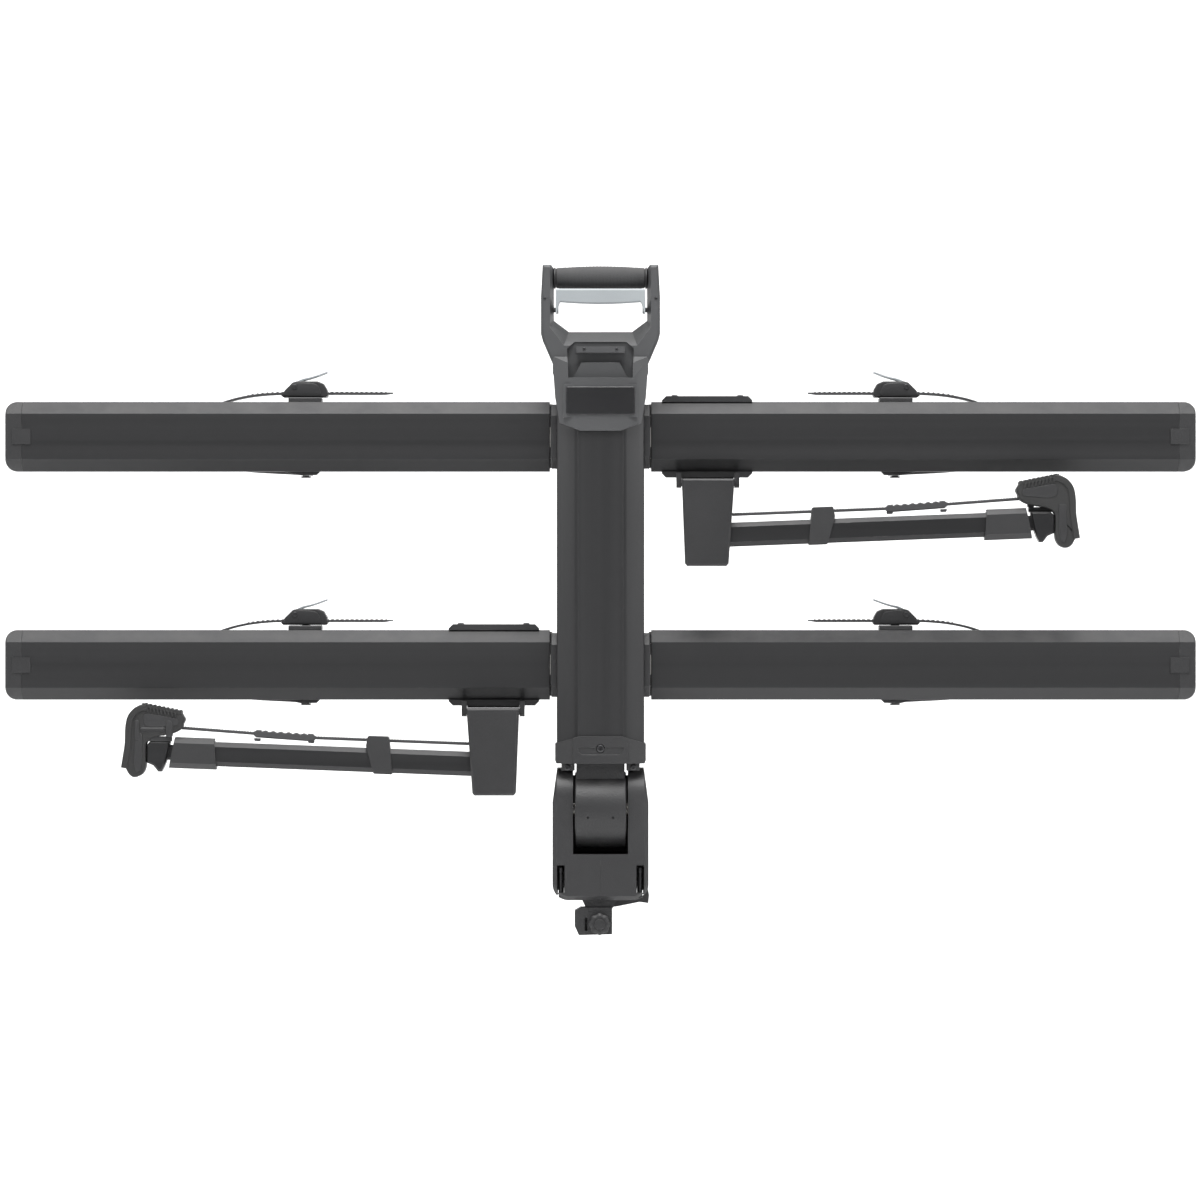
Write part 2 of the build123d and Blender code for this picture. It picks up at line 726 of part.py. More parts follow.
def cradle():
    """U-shaped bracket round the back and sides of the spine, at z = 0."""
    y0 = pivot_y
    z = cradle_half_z
    crescent = [
        (y0 + cradle_y[1], -z),
        (y0 + cradle_y[1], z),
        (y0 + cradle_y[0] + 12, z),
        (y0 + cradle_y[0], z - 14),
        (y0 + cradle_y[0], 14 - z),
        (y0 + cradle_y[0] + 12, -z),
    ]
    with BuildPart() as piece:
        with BuildSketch(Plane.YZ.offset(-cradle_half_x)):
            with BuildLine():
                Polyline(*crescent, close=True)
            make_face()
        extrude(amount=2 * cradle_half_x)
        chamfer(piece.faces().filter_by(Axis.X).edges(), length=1.5)
        add(spine_solid(-z - 1, z + 1), mode=Mode.SUBTRACT)
        front = block((-spine_half, spine_half), (y0 - 60, y0 + spine_back), (-z - 1, z + 1))
        add(front, mode=Mode.SUBTRACT)
        for side in (-1, 1):
            x = side * fold_x
            y = y0 + fold_y
            for low, high in (lug_z, (-lug_z[1], -lug_z[0])):
                web = sorted((side * (fold_x - 16), x))
                add(block(web, (y0 + cradle_y[1], y + lug_r), (low, high)))
                add(rod((x, y, low), (x, y, high), lug_r))
                add(rod((x, y, low - 1), (x, y, high + 1), fold_pin_r), mode=Mode.SUBTRACT)
    return piece.part


def fold_pins():
    """Four headed pins that the trays fold on."""
    pins = []
    for z in tray_z.values():
        for side in (-1, 1):
            x, y = side * fold_x, pivot_y + fold_y
            with BuildPart() as pin:
                add(rod((x, y, z - lug_z[1] - 1), (x, y, z + lug_z[1]), fold_pin_r))
                add(rod((x, y, z + lug_z[1]), (x, y, z + lug_z[1] + 3), fold_pin_r + 2))
            pins.append(pin.part)
    return Compound(pins)


# --- tray pieces, on the right-hand side, about the tray's middle -----------------------


def tray_section():
    """Outer and inner outlines of the extrusion, in Y and Z."""
    y0 = pivot_y
    outer = [
        (y0 + tray_under, tray_face_half),
        (y0 + tray_shoulder, tray_half),
        (y0 + tray_lip, tray_half),
    ]
    wall_y = tray_half - tray_wall
    inner = [
        (y0 + tray_under + tray_wall, tray_face_half - 1),
        (y0 + tray_shoulder + 1.5, wall_y),
        (y0 + tray_lip - tray_wall, wall_y),
        (y0 + tray_lip - tray_wall, tray_half - lip_width),
        (y0 + tray_lip + 1, tray_half - lip_width),
    ]
    return (points + [(y, -z) for y, z in reversed(points)] for points in (outer, inner))


def tray_beam():
    outer, inner = tray_section()
    y0 = pivot_y
    with BuildPart() as piece:
        with BuildSketch(Plane.YZ.offset(tray_inner_x)):
            with BuildLine():
                Polyline(*outer, close=True)
            make_face()
            with BuildLine():
                Polyline(*inner, close=True)
            make_face(mode=Mode.SUBTRACT)
        extrude(amount=tray_end_x - tray_inner_x)
        # hinge ears, standing in the channel's inner end
        y = y0 + fold_y
        for low, high in (ear_z, (-ear_z[1], -ear_z[0])):
            web = block((tray_inner_x, fold_x + lug_r), (y0 + tray_under + tray_wall, y), (low, high))
            foot = block((fold_x, fold_x + 26), (y0 + tray_under + tray_wall, y0 + 12), (low, high))
            add(web)
            add(foot)
            add(rod((fold_x, y, low), (fold_x, y, high), lug_r))
            bore = rod((fold_x, y, low - 1), (fold_x, y, high + 1), fold_pin_r + running_fit)
            add(bore, mode=Mode.SUBTRACT)
    return piece.part


def tray_end_cap():
    """Moulded cap with rounded corners, a snap tongue and four drain holes."""
    outer, inner = tray_section()
    y0 = pivot_y
    end_x = tray_end_x + cap_length
    with BuildPart() as piece:
        with BuildSketch(Plane.YZ.offset(tray_end_x)):
            with BuildLine():
                Polyline(*outer, close=True)
            make_face()
        extrude(amount=cap_length)
        corners = piece.faces().sort_by(Axis.X)[-1].edges().filter_by(Axis.Y)
        fillet(corners, radius=cap_corner)
        chamfer(piece.faces().sort_by(Axis.X)[-1].edges(), length=1.5)
        scoop = block((tray_end_x - 1, end_x - 6), (y0 + 4, y0 + tray_lip + 1), (-30, 30))
        add(scoop, mode=Mode.SUBTRACT)
        tongue_y = (y0 + tray_under - 1.2, y0 + tray_under)
        add(block((clip_x, clip_x + clip_size), tongue_y, (-clip_half, clip_half)))
        for z in (-34, -28, 28, 34):
            drain = rod((end_x - 4, y0 + 16, z * 0.72), (end_x + 1, y0 + 16, z * 0.72), 1.5)
            add(drain, mode=Mode.SUBTRACT)
    return piece.part


def strap_mount():
    """The bracket at the tray's upper edge and the pin lug at its lower edge."""
    y0 = pivot_y
    y = y0 + strap_y
    top_z = buckle_z[0] - part_gap
    with BuildPart() as upper:
        foot_x = (strap_x - buckle_foot_half, strap_x + buckle_foot_half)
        add(block(foot_x, (y0 + 8, y + 9), (tray_half, top_z)))
        chamfer(upper.faces().sort_by(Axis.Z)[-1].edges(), length=1)
        add(rod((strap_x, y, top_z), (strap_x, y, buckle_z[0] + 3), trunnion_r))
    with BuildPart() as lower:
        lug_low = 1 - tray_half
        add(block((strap_x - 10, strap_x + 10), (y0 + tray_lip, y + 10), (lug_low, lip_width - tray_half)))
        add(rod((strap_x, y, lug_low), (strap_x, y, strap_low_z - 4), fold_pin_r))
        add(rod((strap_x, y, strap_low_z - 4), (strap_x, y, strap_low_z - 2), fold_pin_r + 2))
    # a fairing under the tray's edge, ahead of the strap and clear of its foot's swing
    outline = [
        (strap_x - 18, -tray_half),
        (strap_x - 14, strap_low_z - 1),
        (strap_x + 4, strap_low_z - 1.6),
        (strap_x + 26, -tray_half),
    ]
    with BuildPart() as fairing:
        add(slab(outline, y0 + tray_shoulder + 6, y - strap_foot_r - part_gap))
    return Compound([upper.part, lower.part, fairing.part])


def wheel_strap():
    """A ladder strap that loops across the tray and back, on edge."""
    half_w = strap_w / 2
    y = pivot_y + strap_y
    turn_z = 18.0
    with BuildPart() as piece:
        with BuildSketch(front_plane(y + half_w)):
            with BuildLine():
                FilletPolyline(
                    (strap_tail_x, strap_top_z),
                    (strap_bend_x, strap_top_z),
                    (strap_loop_x, turn_z),
                    (strap_loop_x, -turn_z),
                    (strap_bend_x + 16, strap_low_z + 5),
                    (strap_x - strap_foot, strap_low_z),
                    radius=[90, 22, 22, 60],
                )
            trace(line_width=strap_t)
        extrude(amount=strap_w)
        hole = rod((strap_x, y, strap_low_z - 3), (strap_x, y, strap_low_z + 3), fold_pin_r + running_fit)
        add(hole, mode=Mode.SUBTRACT)
    return piece.part


def strap_buckle():
    """The buckle body that the strap runs through, with the pin of its lever."""
    y = pivot_y + strap_y
    low_x, high_x = buckle_x
    low_z, high_z = buckle_z
    outline = [
        (low_x, low_z + 2),
        (low_x + 2, low_z),
        (high_x - 3, low_z),
        (high_x, low_z + 2.5),
        (high_x - 5, low_z + 9),
        (high_x - 14, high_z - 1.5),
        (high_x - 19, high_z),
        (low_x + 12, high_z),
        (low_x + 5, high_z - 3),
        (low_x + 1, high_z - 10),
    ]
    half_w = buckle_w / 2
    with BuildPart() as piece:
        add(slab(outline, y - half_w, y + half_w))
        chamfer(piece.faces().filter_by(Axis.Y).edges(), length=1.2)
        slot_w = strap_w / 2 + part_gap
        slot = (strap_top_z - strap_t / 2 - 0.1, strap_top_z + strap_t / 2 + 0.3)
        add(block((low_x - 1, high_x + 1), (y - slot_w, y + slot_w), slot), mode=Mode.SUBTRACT)
        fork_z = (lever_hub[1] - lever_hub_r - 1.2, high_z + 1)
        fork = block((lever_hub[0] - 8.5, high_x + 1), (y - slot_w, y + slot_w), fork_z)
        add(fork, mode=Mode.SUBTRACT)
        socket = rod((strap_x, y, low_z - 1), (strap_x, y, slot[0]), trunnion_r + running_fit)
        add(socket, mode=Mode.SUBTRACT)
        hub_x, hub_z = lever_hub
        add(rod((hub_x, y - half_w, hub_z), (hub_x, y + half_w, hub_z), hub_pin_r))
    return piece.part


def ratchet_lever():
    y = pivot_y + strap_y
    hx, hz = lever_hub
    blade = [
        (hx + 1, hz + 4.6),
        (hx - 8, hz + 8.8),
        (hx - 22, hz + 11.4),
        (hx - 39, hz + 17.6),
        (hx - 39.6, hz + 15.6),
        (hx - 22, hz + 8.8),
        (hx - 8.4, hz + 6.2),
        (hx - 4, hz + 2),
    ]
    half_w = strap_w / 2 - part_gap
    with BuildPart() as piece:
        add(slab(blade, y - half_w, y + half_w))
        add(rod((hx, y - half_w, hz), (hx, y + half_w, hz), lever_hub_r))
        bore = rod((hx, y - half_w - 1, hz), (hx, y + half_w + 1, hz), hub_pin_r + running_fit)
        add(bore, mode=Mode.SUBTRACT)
    return piece.part


# --- frame arm, on the right-hand side, about the tray's middle -------------------------


def arm_saddle():
    """Bracket clamped over the tray's inner end, with the lugs and pin of the arm's base."""
    y0 = pivot_y
    z_out = tray_half + saddle_t
    low_x, high_x = saddle_x
    axis_y, axis_z = y0 + base_axis[0], base_axis[1]
    with BuildPart() as piece:
        add(block(saddle_x, (y0 + 4, y0 + saddle_back), (-z_out, z_out)))
        chamfer(piece.edges().filter_by(Axis.Y), length=5)
        add(block((low_x - 1, high_x + 1), (y0, y0 + tray_lip), (-tray_half, tray_half)), mode=Mode.SUBTRACT)
        screw_y = y0 + saddle_back / 2
        with Locations((low_x + 15.4, screw_y, z_out), (high_x - 14.4, screw_y, z_out)):
            Cylinder(2.6, 4, mode=Mode.SUBTRACT)
        # a strip that closes the gap behind the clevis's top
        strip_z = (clevis_top_z - 0.1, 1 - z_out)
        add(block(clevis_x, (y0 + 6, y0 + 12), strip_z))
        left_lug = (clevis_x[0] - lug_t, clevis_x[0] - part_gap)
        right_lug = (clevis_x[1] + part_gap, clevis_x[1] + lug_t)
        round_r = base_pin_r + 2
        for near, far in (left_lug, right_lug):
            add(block((near, far), (axis_y - round_r, y0 + 12), (-z_out - 4, -z_out + 2)))
            add(block((near, far), (axis_y - round_r, axis_y + round_r), (axis_z - 1, -tray_half - 2)))
            add(rod((near, axis_y, axis_z), (far, axis_y, axis_z), round_r))
        add(rod((left_lug[0], axis_y, axis_z), (right_lug[1], axis_y, axis_z), base_pin_r))
    return piece.part


def arm_clevis():
    """The tapered block that the arm folds out of, with the arm's pin."""
    y0 = pivot_y
    outline = [
        (clevis_x[0], clevis_top_z),
        (clevis_x[1], clevis_top_z),
        (clevis_x[1] - 7.1, clevis_low_z + 3),
        (clevis_x[1] - 9.6, clevis_low_z),
        (clevis_x[0] + 6.4, clevis_low_z),
        (clevis_x[0] + 3.9, clevis_low_z + 3),
    ]
    px, pz = arm_pivot
    room = tube_room
    axis_y, axis_z = y0 + base_axis[0], base_axis[1]
    y_front, y_back = y0 + clevis_y[0], y0 + clevis_y[1]
    with BuildPart() as piece:
        add(slab(outline, y_front, y_back))
        corner = piece.edges().filter_by(Axis.X).group_by(Axis.Z)[-1].sort_by(Axis.Y)[-1:]
        fillet(corner, radius=4.2)
        chamfer(piece.faces().sort_by(Axis.Y)[0].edges(), length=2)
        with BuildSketch(front_plane(y0 + arm_y + room)):
            with Locations((px, pz)):
                Circle(tube_swing_r)
            with Locations((px, pz - 30)):
                Rectangle(2 * tube_swing_r, 60)
            with Locations((px + 25, pz - 18)):
                Rectangle(50, 2 * room + 39)
        extrude(amount=2 * room, mode=Mode.SUBTRACT)
        bore_ends = [(x, axis_y, axis_z) for x in (clevis_x[0] - 1, clevis_x[1] + 1)]
        bore = rod(*bore_ends, base_pin_r + running_fit)
        add(bore, mode=Mode.SUBTRACT)
        add(rod((px, y_front + 2, pz), (px, y_back, pz), arm_pin_r))
    return piece.part


def on_arm(piece):
    """Moves a piece from the arm's own frame, pivot at the origin, to the folded arm."""
    px, pz = arm_pivot
    return piece.moved(Location((px, pivot_y + arm_y, pz), (0, -arm_slope, 0)))


def at_pivot(piece):
    """Moves a level piece, given from the arm's pivot, to its place."""
    px, pz = arm_pivot
    return piece.moved(Location((px, pivot_y + arm_y, pz)))


def from_tube_end(points):
    """Outline points measured from the tube's mouth, moved to the arm's own frame."""
    return [(x + tube_end, z) for x, z in points]


def arm_tube():
    half = tube_size / 2
    with BuildPart() as piece:
        with BuildSketch(Plane.YZ.offset(-half)):
            Rectangle(tube_size, tube_size)
            chamfer(vertices(), length=tube_chamfer)
        extrude(amount=tube_end + half)
        back = piece.edges().filter_by(Axis.Y).group_by(Axis.X)[0]
        fillet(back, radius=tube_back_round)
        bore_half = bar_size / 2 + slide_fit
        bore = block((2 * half + 1, tube_end + 1), (-bore_half, bore_half), (-bore_half, bore_half))
        add(bore, mode=Mode.SUBTRACT)
        add(rod((0, -half - 1, 0), (0, half + 1, 0), arm_pin_r + running_fit), mode=Mode.SUBTRACT)
    return on_arm(piece.part)


def arm_collar():
    """Lock collar at the tube's mouth, and the rubber keeper of the strap."""
    half = collar_size / 2
    low, high = collar_x
    outline = [(low - 1, -half), (low + 3, half), (high - 4, half), (high + 2, -half)]
    bore_half = bar_size / 2 + slide_fit
    tube_half = tube_size / 2
    with BuildPart() as collar:
        add(slab(outline, -half, half))
        along = collar.edges().filter_by(lambda edge: abs(edge.tangent_at(0).X) > 0.9)
        chamfer(along, length=tube_chamfer + 1)
        add(block((low - 5, tube_end), (-tube_half, tube_half), (-tube_half, tube_half)), mode=Mode.SUBTRACT)
        add(block((low, high + 5), (-bore_half, bore_half), (-bore_half, bore_half)), mode=Mode.SUBTRACT)
        # a shallow channel lets the feet of the strap's sleeve pass
        channel_z = (sleeve_low - part_gap, half + 1)
        channel_half = cord_w / 2 + 2 * part_gap
        add(block((low - 5, high + 5), (-channel_half, channel_half), channel_z), mode=Mode.SUBTRACT)
    keeper_half = tube_half + 1.6
    keeper_top = cord_z + 5
    shoulder = keeper_half + 0.9
    band = [
        (keeper_x, -keeper_half),
        (keeper_x + 4, shoulder),
        (keeper_x + 6, keeper_top),
        (keeper_x + 31, keeper_top),
        (keeper_x + 33, shoulder),
        (keeper_x + 22.5, -keeper_half),
    ]
    with BuildPart() as keeper:
        add(slab(band, -keeper_half, keeper_half))
        chamfer(keeper.edges().filter_by(Axis.Y), length=1.0)
        with BuildSketch(Plane.YZ.offset(keeper_x - 10)):
            Rectangle(tube_size, tube_size)
            chamfer(vertices(), length=tube_chamfer)
        extrude(amount=50, mode=Mode.SUBTRACT)
        eye_y = cord_w / 2 + part_gap
        eye_z = cord_t / 2 + part_gap
        eye = block((keeper_x - 10, keeper_x + 40), (-eye_y, eye_y), (cord_z - eye_z, cord_z + eye_z))
        add(eye, mode=Mode.SUBTRACT)
    return on_arm(Compound([collar.part, keeper.part]))


def arm_extension():
    """Sliding bar with the cast knuckle at its end."""
    half = bar_size / 2
    start, end = bar_start, tube_end + 51
    with BuildPart() as bar:
        with BuildSketch(Plane.YZ.offset(start)):
            Rectangle(bar_size, bar_size)
            chamfer(vertices(), length=2.5)
        extrude(amount=end - start)
    knuckle_outline = [
        (42.5, 28.5),
        (66.5, 28.5),
        (71, 24),
        (71, 3),
        (63, -0.5),
        (57, -8),
        (53, -8),
        (49.5, -1),
        (47, 6),
    ]
    with BuildPart() as knuckle:
        add(slab(from_tube_end(knuckle_outline), -tube_size / 2, tube_size / 2))
        chamfer(knuckle.faces().filter_by(Axis.Y).edges(), length=2)
    with BuildPart() as piece:
        add(on_arm(bar.part))
        add(at_pivot(knuckle.part))
    return piece.part


def clamp_jaw():
    """L-shaped jaw: a toothed pad above, a long finger at the outer end."""
    outline = [
        (77, 75.4),
        (88, 69),
        (95.6, 58),
        (97, 44),
        (97, 26),
        (102, -4.8),
        (96.8, -4),
        (93.3, -12),
        (86, -16.6),
        (76, -13),
        (71, -4),
        (71, 27),
        (64, 33),
        (38, 36.7),
        (26.5, 44),
        (26.5, 49),
        (23, 54),
        (29, 66),
    ]
    with BuildPart() as piece:
        add(slab(from_tube_end(outline), -jaw_half_y, jaw_half_y))
        chamfer(piece.faces().filter_by(Axis.Y).edges(), length=1.6)
        low, high = knob_x
        recess_z = (knob_z - knob_r - 20, knob_z + knob_r + 1.5)
        add(block((low - 3, high + 2), (-1, jaw_half_y + 1), recess_z), mode=Mode.SUBTRACT)
        axle_y = jaw_half_y - knob_r
        add(rod((low - 4, axle_y, knob_z), (high + 3, axle_y, knob_z), 2.5))
        teeth = from_tube_end([(32 + 5.2 * i, 66.5 + i) for i in range(8)])
        for x, z in teeth:
            groove = block((x, x + 2.4), (3 - jaw_half_y, jaw_half_y - 3), (z - 2.5, z + 3))
            add(groove, mode=Mode.SUBTRACT)
    return at_pivot(piece.part)


def clamp_knob():
    """Ribbed roller that winds the clamp strap in."""
    low, high = knob_x
    y = jaw_half_y - knob_r
    with BuildPart() as piece:
        with BuildSketch(Plane.YZ.offset(low)):
            with Locations((y, knob_z)):
                Circle(knob_r - 0.4)
            with Locations((y, knob_z)):
                with PolarLocations(knob_r + 0.6, 12):
                    Circle(1.5, mode=Mode.SUBTRACT)
            with Locations((y, knob_z)):
                Circle(2.5 + running_fit, mode=Mode.SUBTRACT)
        extrude(amount=high - low)
    return at_pivot(piece.part)


def clamp_strap():
    """The flat strap along the arm, with its moulded sleeve, in the arm's own frame."""
    start_x, bend_x, end_x = arm_pin_r + 26.0, keeper_x + 94.0, tube_end + 27.0
    rise = 5.6
    sleeve_end = bend_x + 75.0
    lift = rise * (sleeve_end - bend_x) / (end_x - bend_x)
    with BuildPart() as piece:
        with BuildSketch(front_plane(cord_w / 2)):
            with BuildLine():
                FilletPolyline((start_x, cord_z), (bend_x, cord_z), (end_x, cord_z + rise), radius=[400])
            trace(line_width=cord_t)
        extrude(amount=cord_w)
        sleeve = [
            (bend_x, cord_z - sleeve_half),
            (bend_x, cord_z + sleeve_half),
            (sleeve_end, cord_z + lift + sleeve_half),
            (sleeve_end, cord_z + lift - sleeve_half),
        ]
        add(slab(sleeve, -cord_w / 2 - 1, cord_w / 2 + 1))
        for foot in (bend_x, sleeve_end - 8):
            add(block((foot, foot + 8), (-cord_w / 2, cord_w / 2), (sleeve_low, cord_z)))
    return on_arm(piece.part)


# --- the whole rack ---------------------------------------------------------------------

os.makedirs("parts", exist_ok=True)

save(receiver_shank(), "receiver_shank")
save(pivot_bracket(), "pivot_bracket")
right_cover = housing_half()
save(right_cover, "housing_right")
save(mirror(right_cover, about=Plane.YZ), "housing_left")
save(pivot_pin(), "pivot_pin")
save(housing_bolts(), "housing_bolts")
save(knob_bracket(), "knob_bracket")
save(tightening_knob(), "tightening_knob")
save(clamp_foot(), "clamp_foot")

save(spine_beam(), "spine_beam")
save(hinge_drum(), "hinge_drum")
save(lower_collar(), "lower_collar")
save(handle_frame(), "handle_frame")
save(handle_grip(), "handle_grip")
save(badge_plate(), "badge_plate")
save(release_lever(), "release_lever")
save(release_rod(), "release_rod")
for level, z in tray_z.items():
    save(cradle().moved(Location((0, 0, z))), f"{level}_cradle")
save(fold_pins(), "fold_pins")

tray_pieces = {
    "tray": tray_beam(),
    "end_cap": tray_end_cap(),
    "strap_mount": strap_mount(),
    "wheel_strap": wheel_strap(),
    "strap_buckle": strap_buckle(),
    "ratchet_lever": ratchet_lever(),
}
for level, z in tray_z.items():
    for name, piece in tray_pieces.items():
        raised = piece.moved(Location((0, 0, z)))
        save(raised, f"{level}_right_{name}")
        save(mirror(raised, about=Plane.YZ), f"{level}_left_{name}")

base_pieces = {"arm_saddle": arm_saddle(), "arm_clevis": arm_clevis()}
head_pieces = {
    "arm_tube": arm_tube(),
    "arm_collar": arm_collar(),
    "arm_extension": arm_extension(),
    "clamp_jaw": clamp_jaw(),
    "clamp_knob": clamp_knob(),
    "clamp_strap": clamp_strap(),
}
half_turn = Location((0, 2 * (pivot_y + arm_y), 0), (0, 0, 180))
for name, piece in base_pieces.items():
    save(piece.moved(Location((0, 0, tray_z["upper"]))), f"upper_{name}")
    save(mirror(piece.moved(Location((0, 0, tray_z["lower"]))), about=Plane.YZ), f"lower_{name}")
for name, piece in head_pieces.items():
    save(piece.moved(Location((0, 0, tray_z["upper"]))), f"upper_{name}")
    save(piece.moved(Location((0, 0, tray_z["lower"]))).moved(half_turn), f"lower_{name}")
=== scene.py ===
# %% [markdown]
# # A folding platform rack for two bicycles
# The rack is shown as it travels empty: folded up against the car, seen from behind.
# Its metal frame comes ready from CAD. This lesson gives every piece its finish, eases the hard
# corners that no real casting or moulding has, and models again the pieces that CAD keeps plain.

# %% Load the frame
import json
from math import radians

import bmesh
import bpy
import mathutils
import numpy as np
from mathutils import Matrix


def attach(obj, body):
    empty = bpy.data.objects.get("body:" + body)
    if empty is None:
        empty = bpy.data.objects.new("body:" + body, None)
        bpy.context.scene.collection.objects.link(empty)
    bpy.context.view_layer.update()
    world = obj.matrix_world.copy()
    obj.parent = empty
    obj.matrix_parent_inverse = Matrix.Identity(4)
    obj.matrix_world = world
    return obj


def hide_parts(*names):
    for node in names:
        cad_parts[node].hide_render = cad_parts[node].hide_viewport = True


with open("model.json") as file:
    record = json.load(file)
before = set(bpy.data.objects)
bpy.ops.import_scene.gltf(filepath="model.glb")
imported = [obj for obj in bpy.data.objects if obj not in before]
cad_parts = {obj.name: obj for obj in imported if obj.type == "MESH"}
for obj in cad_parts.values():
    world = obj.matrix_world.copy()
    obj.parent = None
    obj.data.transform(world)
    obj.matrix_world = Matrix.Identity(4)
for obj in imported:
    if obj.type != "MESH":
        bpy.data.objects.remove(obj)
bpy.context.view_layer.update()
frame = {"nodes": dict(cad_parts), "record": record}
MM = 0.001
body_of_node = {
    node: body
    for body, nodes in frame["record"]["behaviour"]["bodies"].items()
    for node in nodes
}
slot_of_node = {s["node"]: s["material_slot"] for s in frame["record"]["subparts"]}
PIVOT_Y = -270.0
LEVELS = {"lower": 241.0, "upper": 516.0}

# %% [markdown]
# ## Shared effects
# Wear, moulding grain, the fine lines of drawn aluminium and settled dust turn up in many finishes.
# Each one is a small node group that gives back a mask or a value, so that every material can mix
# it in at its own strength. The shader itself stays in the material.

# %% A helper for node groups
def new_group(name, inputs, outputs):
    """A shader node group; inputs are (name, default), and outputs are names of plain values."""
    group = bpy.data.node_groups.new(name, "ShaderNodeTree")
    for label, default in inputs:
        socket = group.interface.new_socket(label, in_out="INPUT", socket_type="NodeSocketFloat")
        socket.default_value = default
    for label in outputs:
        group.interface.new_socket(label, in_out="OUTPUT", socket_type="NodeSocketFloat")
    return group, group.nodes.new("NodeGroupInput"), group.nodes.new("NodeGroupOutput")


def node(tree, kind, links=(), **settings):
    """Adds a node, sets its plain properties, and joins (input, source socket or value) pairs."""
    made = tree.nodes.new(kind)
    for key, value in settings.items():
        setattr(made, key, value)
    for key, value in links:
        if isinstance(value, bpy.types.NodeSocket):
            tree.links.new(value, made.inputs[key])
        else:
            made.inputs[key].default_value = value
    return made


# %% Edge wear
def build_edge_wear():
    """Where a rounded normal leaves the true one there is an edge; noise breaks it into rubs."""
    group, given, result = new_group("edge wear", [("Reach", 0.0012), ("Amount", 0.5)], ["Mask"])
    soft = node(group, "ShaderNodeBevel", [("Radius", given.outputs["Reach"])], samples=4)
    true = node(group, "ShaderNodeNewGeometry")
    match = node(group, "ShaderNodeVectorMath", [(0, soft.outputs[0]), (1, true.outputs["Normal"])],
                 operation="DOT_PRODUCT")
    edge = node(group, "ShaderNodeMapRange", [("Value", match.outputs["Value"]), (1, 0.995), (2, 0.90)])
    place = node(group, "ShaderNodeTexCoord")
    rubs = node(group, "ShaderNodeTexNoise",
                [("Vector", place.outputs["Object"]), ("Scale", 70.0), ("Detail", 5.0)])
    patches = node(group, "ShaderNodeMapRange", [("Value", rubs.outputs[0]), (1, 0.48), (2, 0.66)])
    both = node(group, "ShaderNodeMath", [(0, edge.outputs[0]), (1, patches.outputs[0])],
                operation="MULTIPLY")
    out = node(group, "ShaderNodeMath", [(0, both.outputs[0]), (1, given.outputs["Amount"])],
               operation="MULTIPLY", use_clamp=True)
    group.links.new(out.outputs[0], result.inputs["Mask"])
    return group


edge_wear = build_edge_wear()
print("edge wear:", len(edge_wear.nodes), "nodes")


# %% Moulding grain
def build_grain():
    """Fine cells like a spark-eroded mould leaves, and slow cloudy changes of gloss."""
    group, given, result = new_group("moulding grain", [("Scale", 900.0)], ["Height", "Clouds"])
    place = node(group, "ShaderNodeTexCoord")
    fine = node(group, "ShaderNodeTexNoise",
                [("Vector", place.outputs["Object"]), ("Scale", given.outputs["Scale"]), ("Detail", 2.0)])
    cells = node(group, "ShaderNodeTexVoronoi",
                 [("Vector", place.outputs["Object"]), ("Scale", given.outputs["Scale"])])
    height = node(group, "ShaderNodeMath", [(0, fine.outputs[0]), (1, cells.outputs["Distance"])],
                  operation="ADD")
    slow = node(group, "ShaderNodeTexNoise",
                [("Vector", place.outputs["Object"]), ("Scale", 9.0), ("Detail", 4.0)])
    group.links.new(height.outputs[0], result.inputs["Height"])
    group.links.new(slow.outputs[0], result.inputs["Clouds"])
    return group


grain = build_grain()
print("moulding grain:", len(grain.nodes), "nodes")


# %% Drawn lines
def build_drawn_lines():
    """Noise squeezed across one axis and stretched along it: the die lines of an extrusion."""
    group, given, result = new_group(
        "drawn lines", [("Along X", 2.0), ("Along Z", 900.0)], ["Height", "Shade"])
    place = node(group, "ShaderNodeTexCoord")
    split = node(group, "ShaderNodeCombineXYZ",
                 [("X", given.outputs["Along X"]), ("Y", 900.0), ("Z", given.outputs["Along Z"])])
    squeezed = node(group, "ShaderNodeVectorMath",
                    [(0, place.outputs["Object"]), (1, split.outputs[0])], operation="MULTIPLY")
    lines = node(group, "ShaderNodeTexNoise",
                 [("Vector", squeezed.outputs[0]), ("Scale", 1.0), ("Detail", 3.0)])
    broad = node(group, "ShaderNodeVectorMath", [(0, squeezed.outputs[0]), (1, (0.09, 0.09, 0.09))],
                 operation="MULTIPLY")
    shade = node(group, "ShaderNodeTexNoise",
                 [("Vector", broad.outputs[0]), ("Scale", 1.0), ("Detail", 2.0)])
    group.links.new(lines.outputs[0], result.inputs["Height"])
    group.links.new(shade.outputs[0], result.inputs["Shade"])
    return group


drawn_lines = build_drawn_lines()
print("drawn lines:", len(drawn_lines.nodes), "nodes")


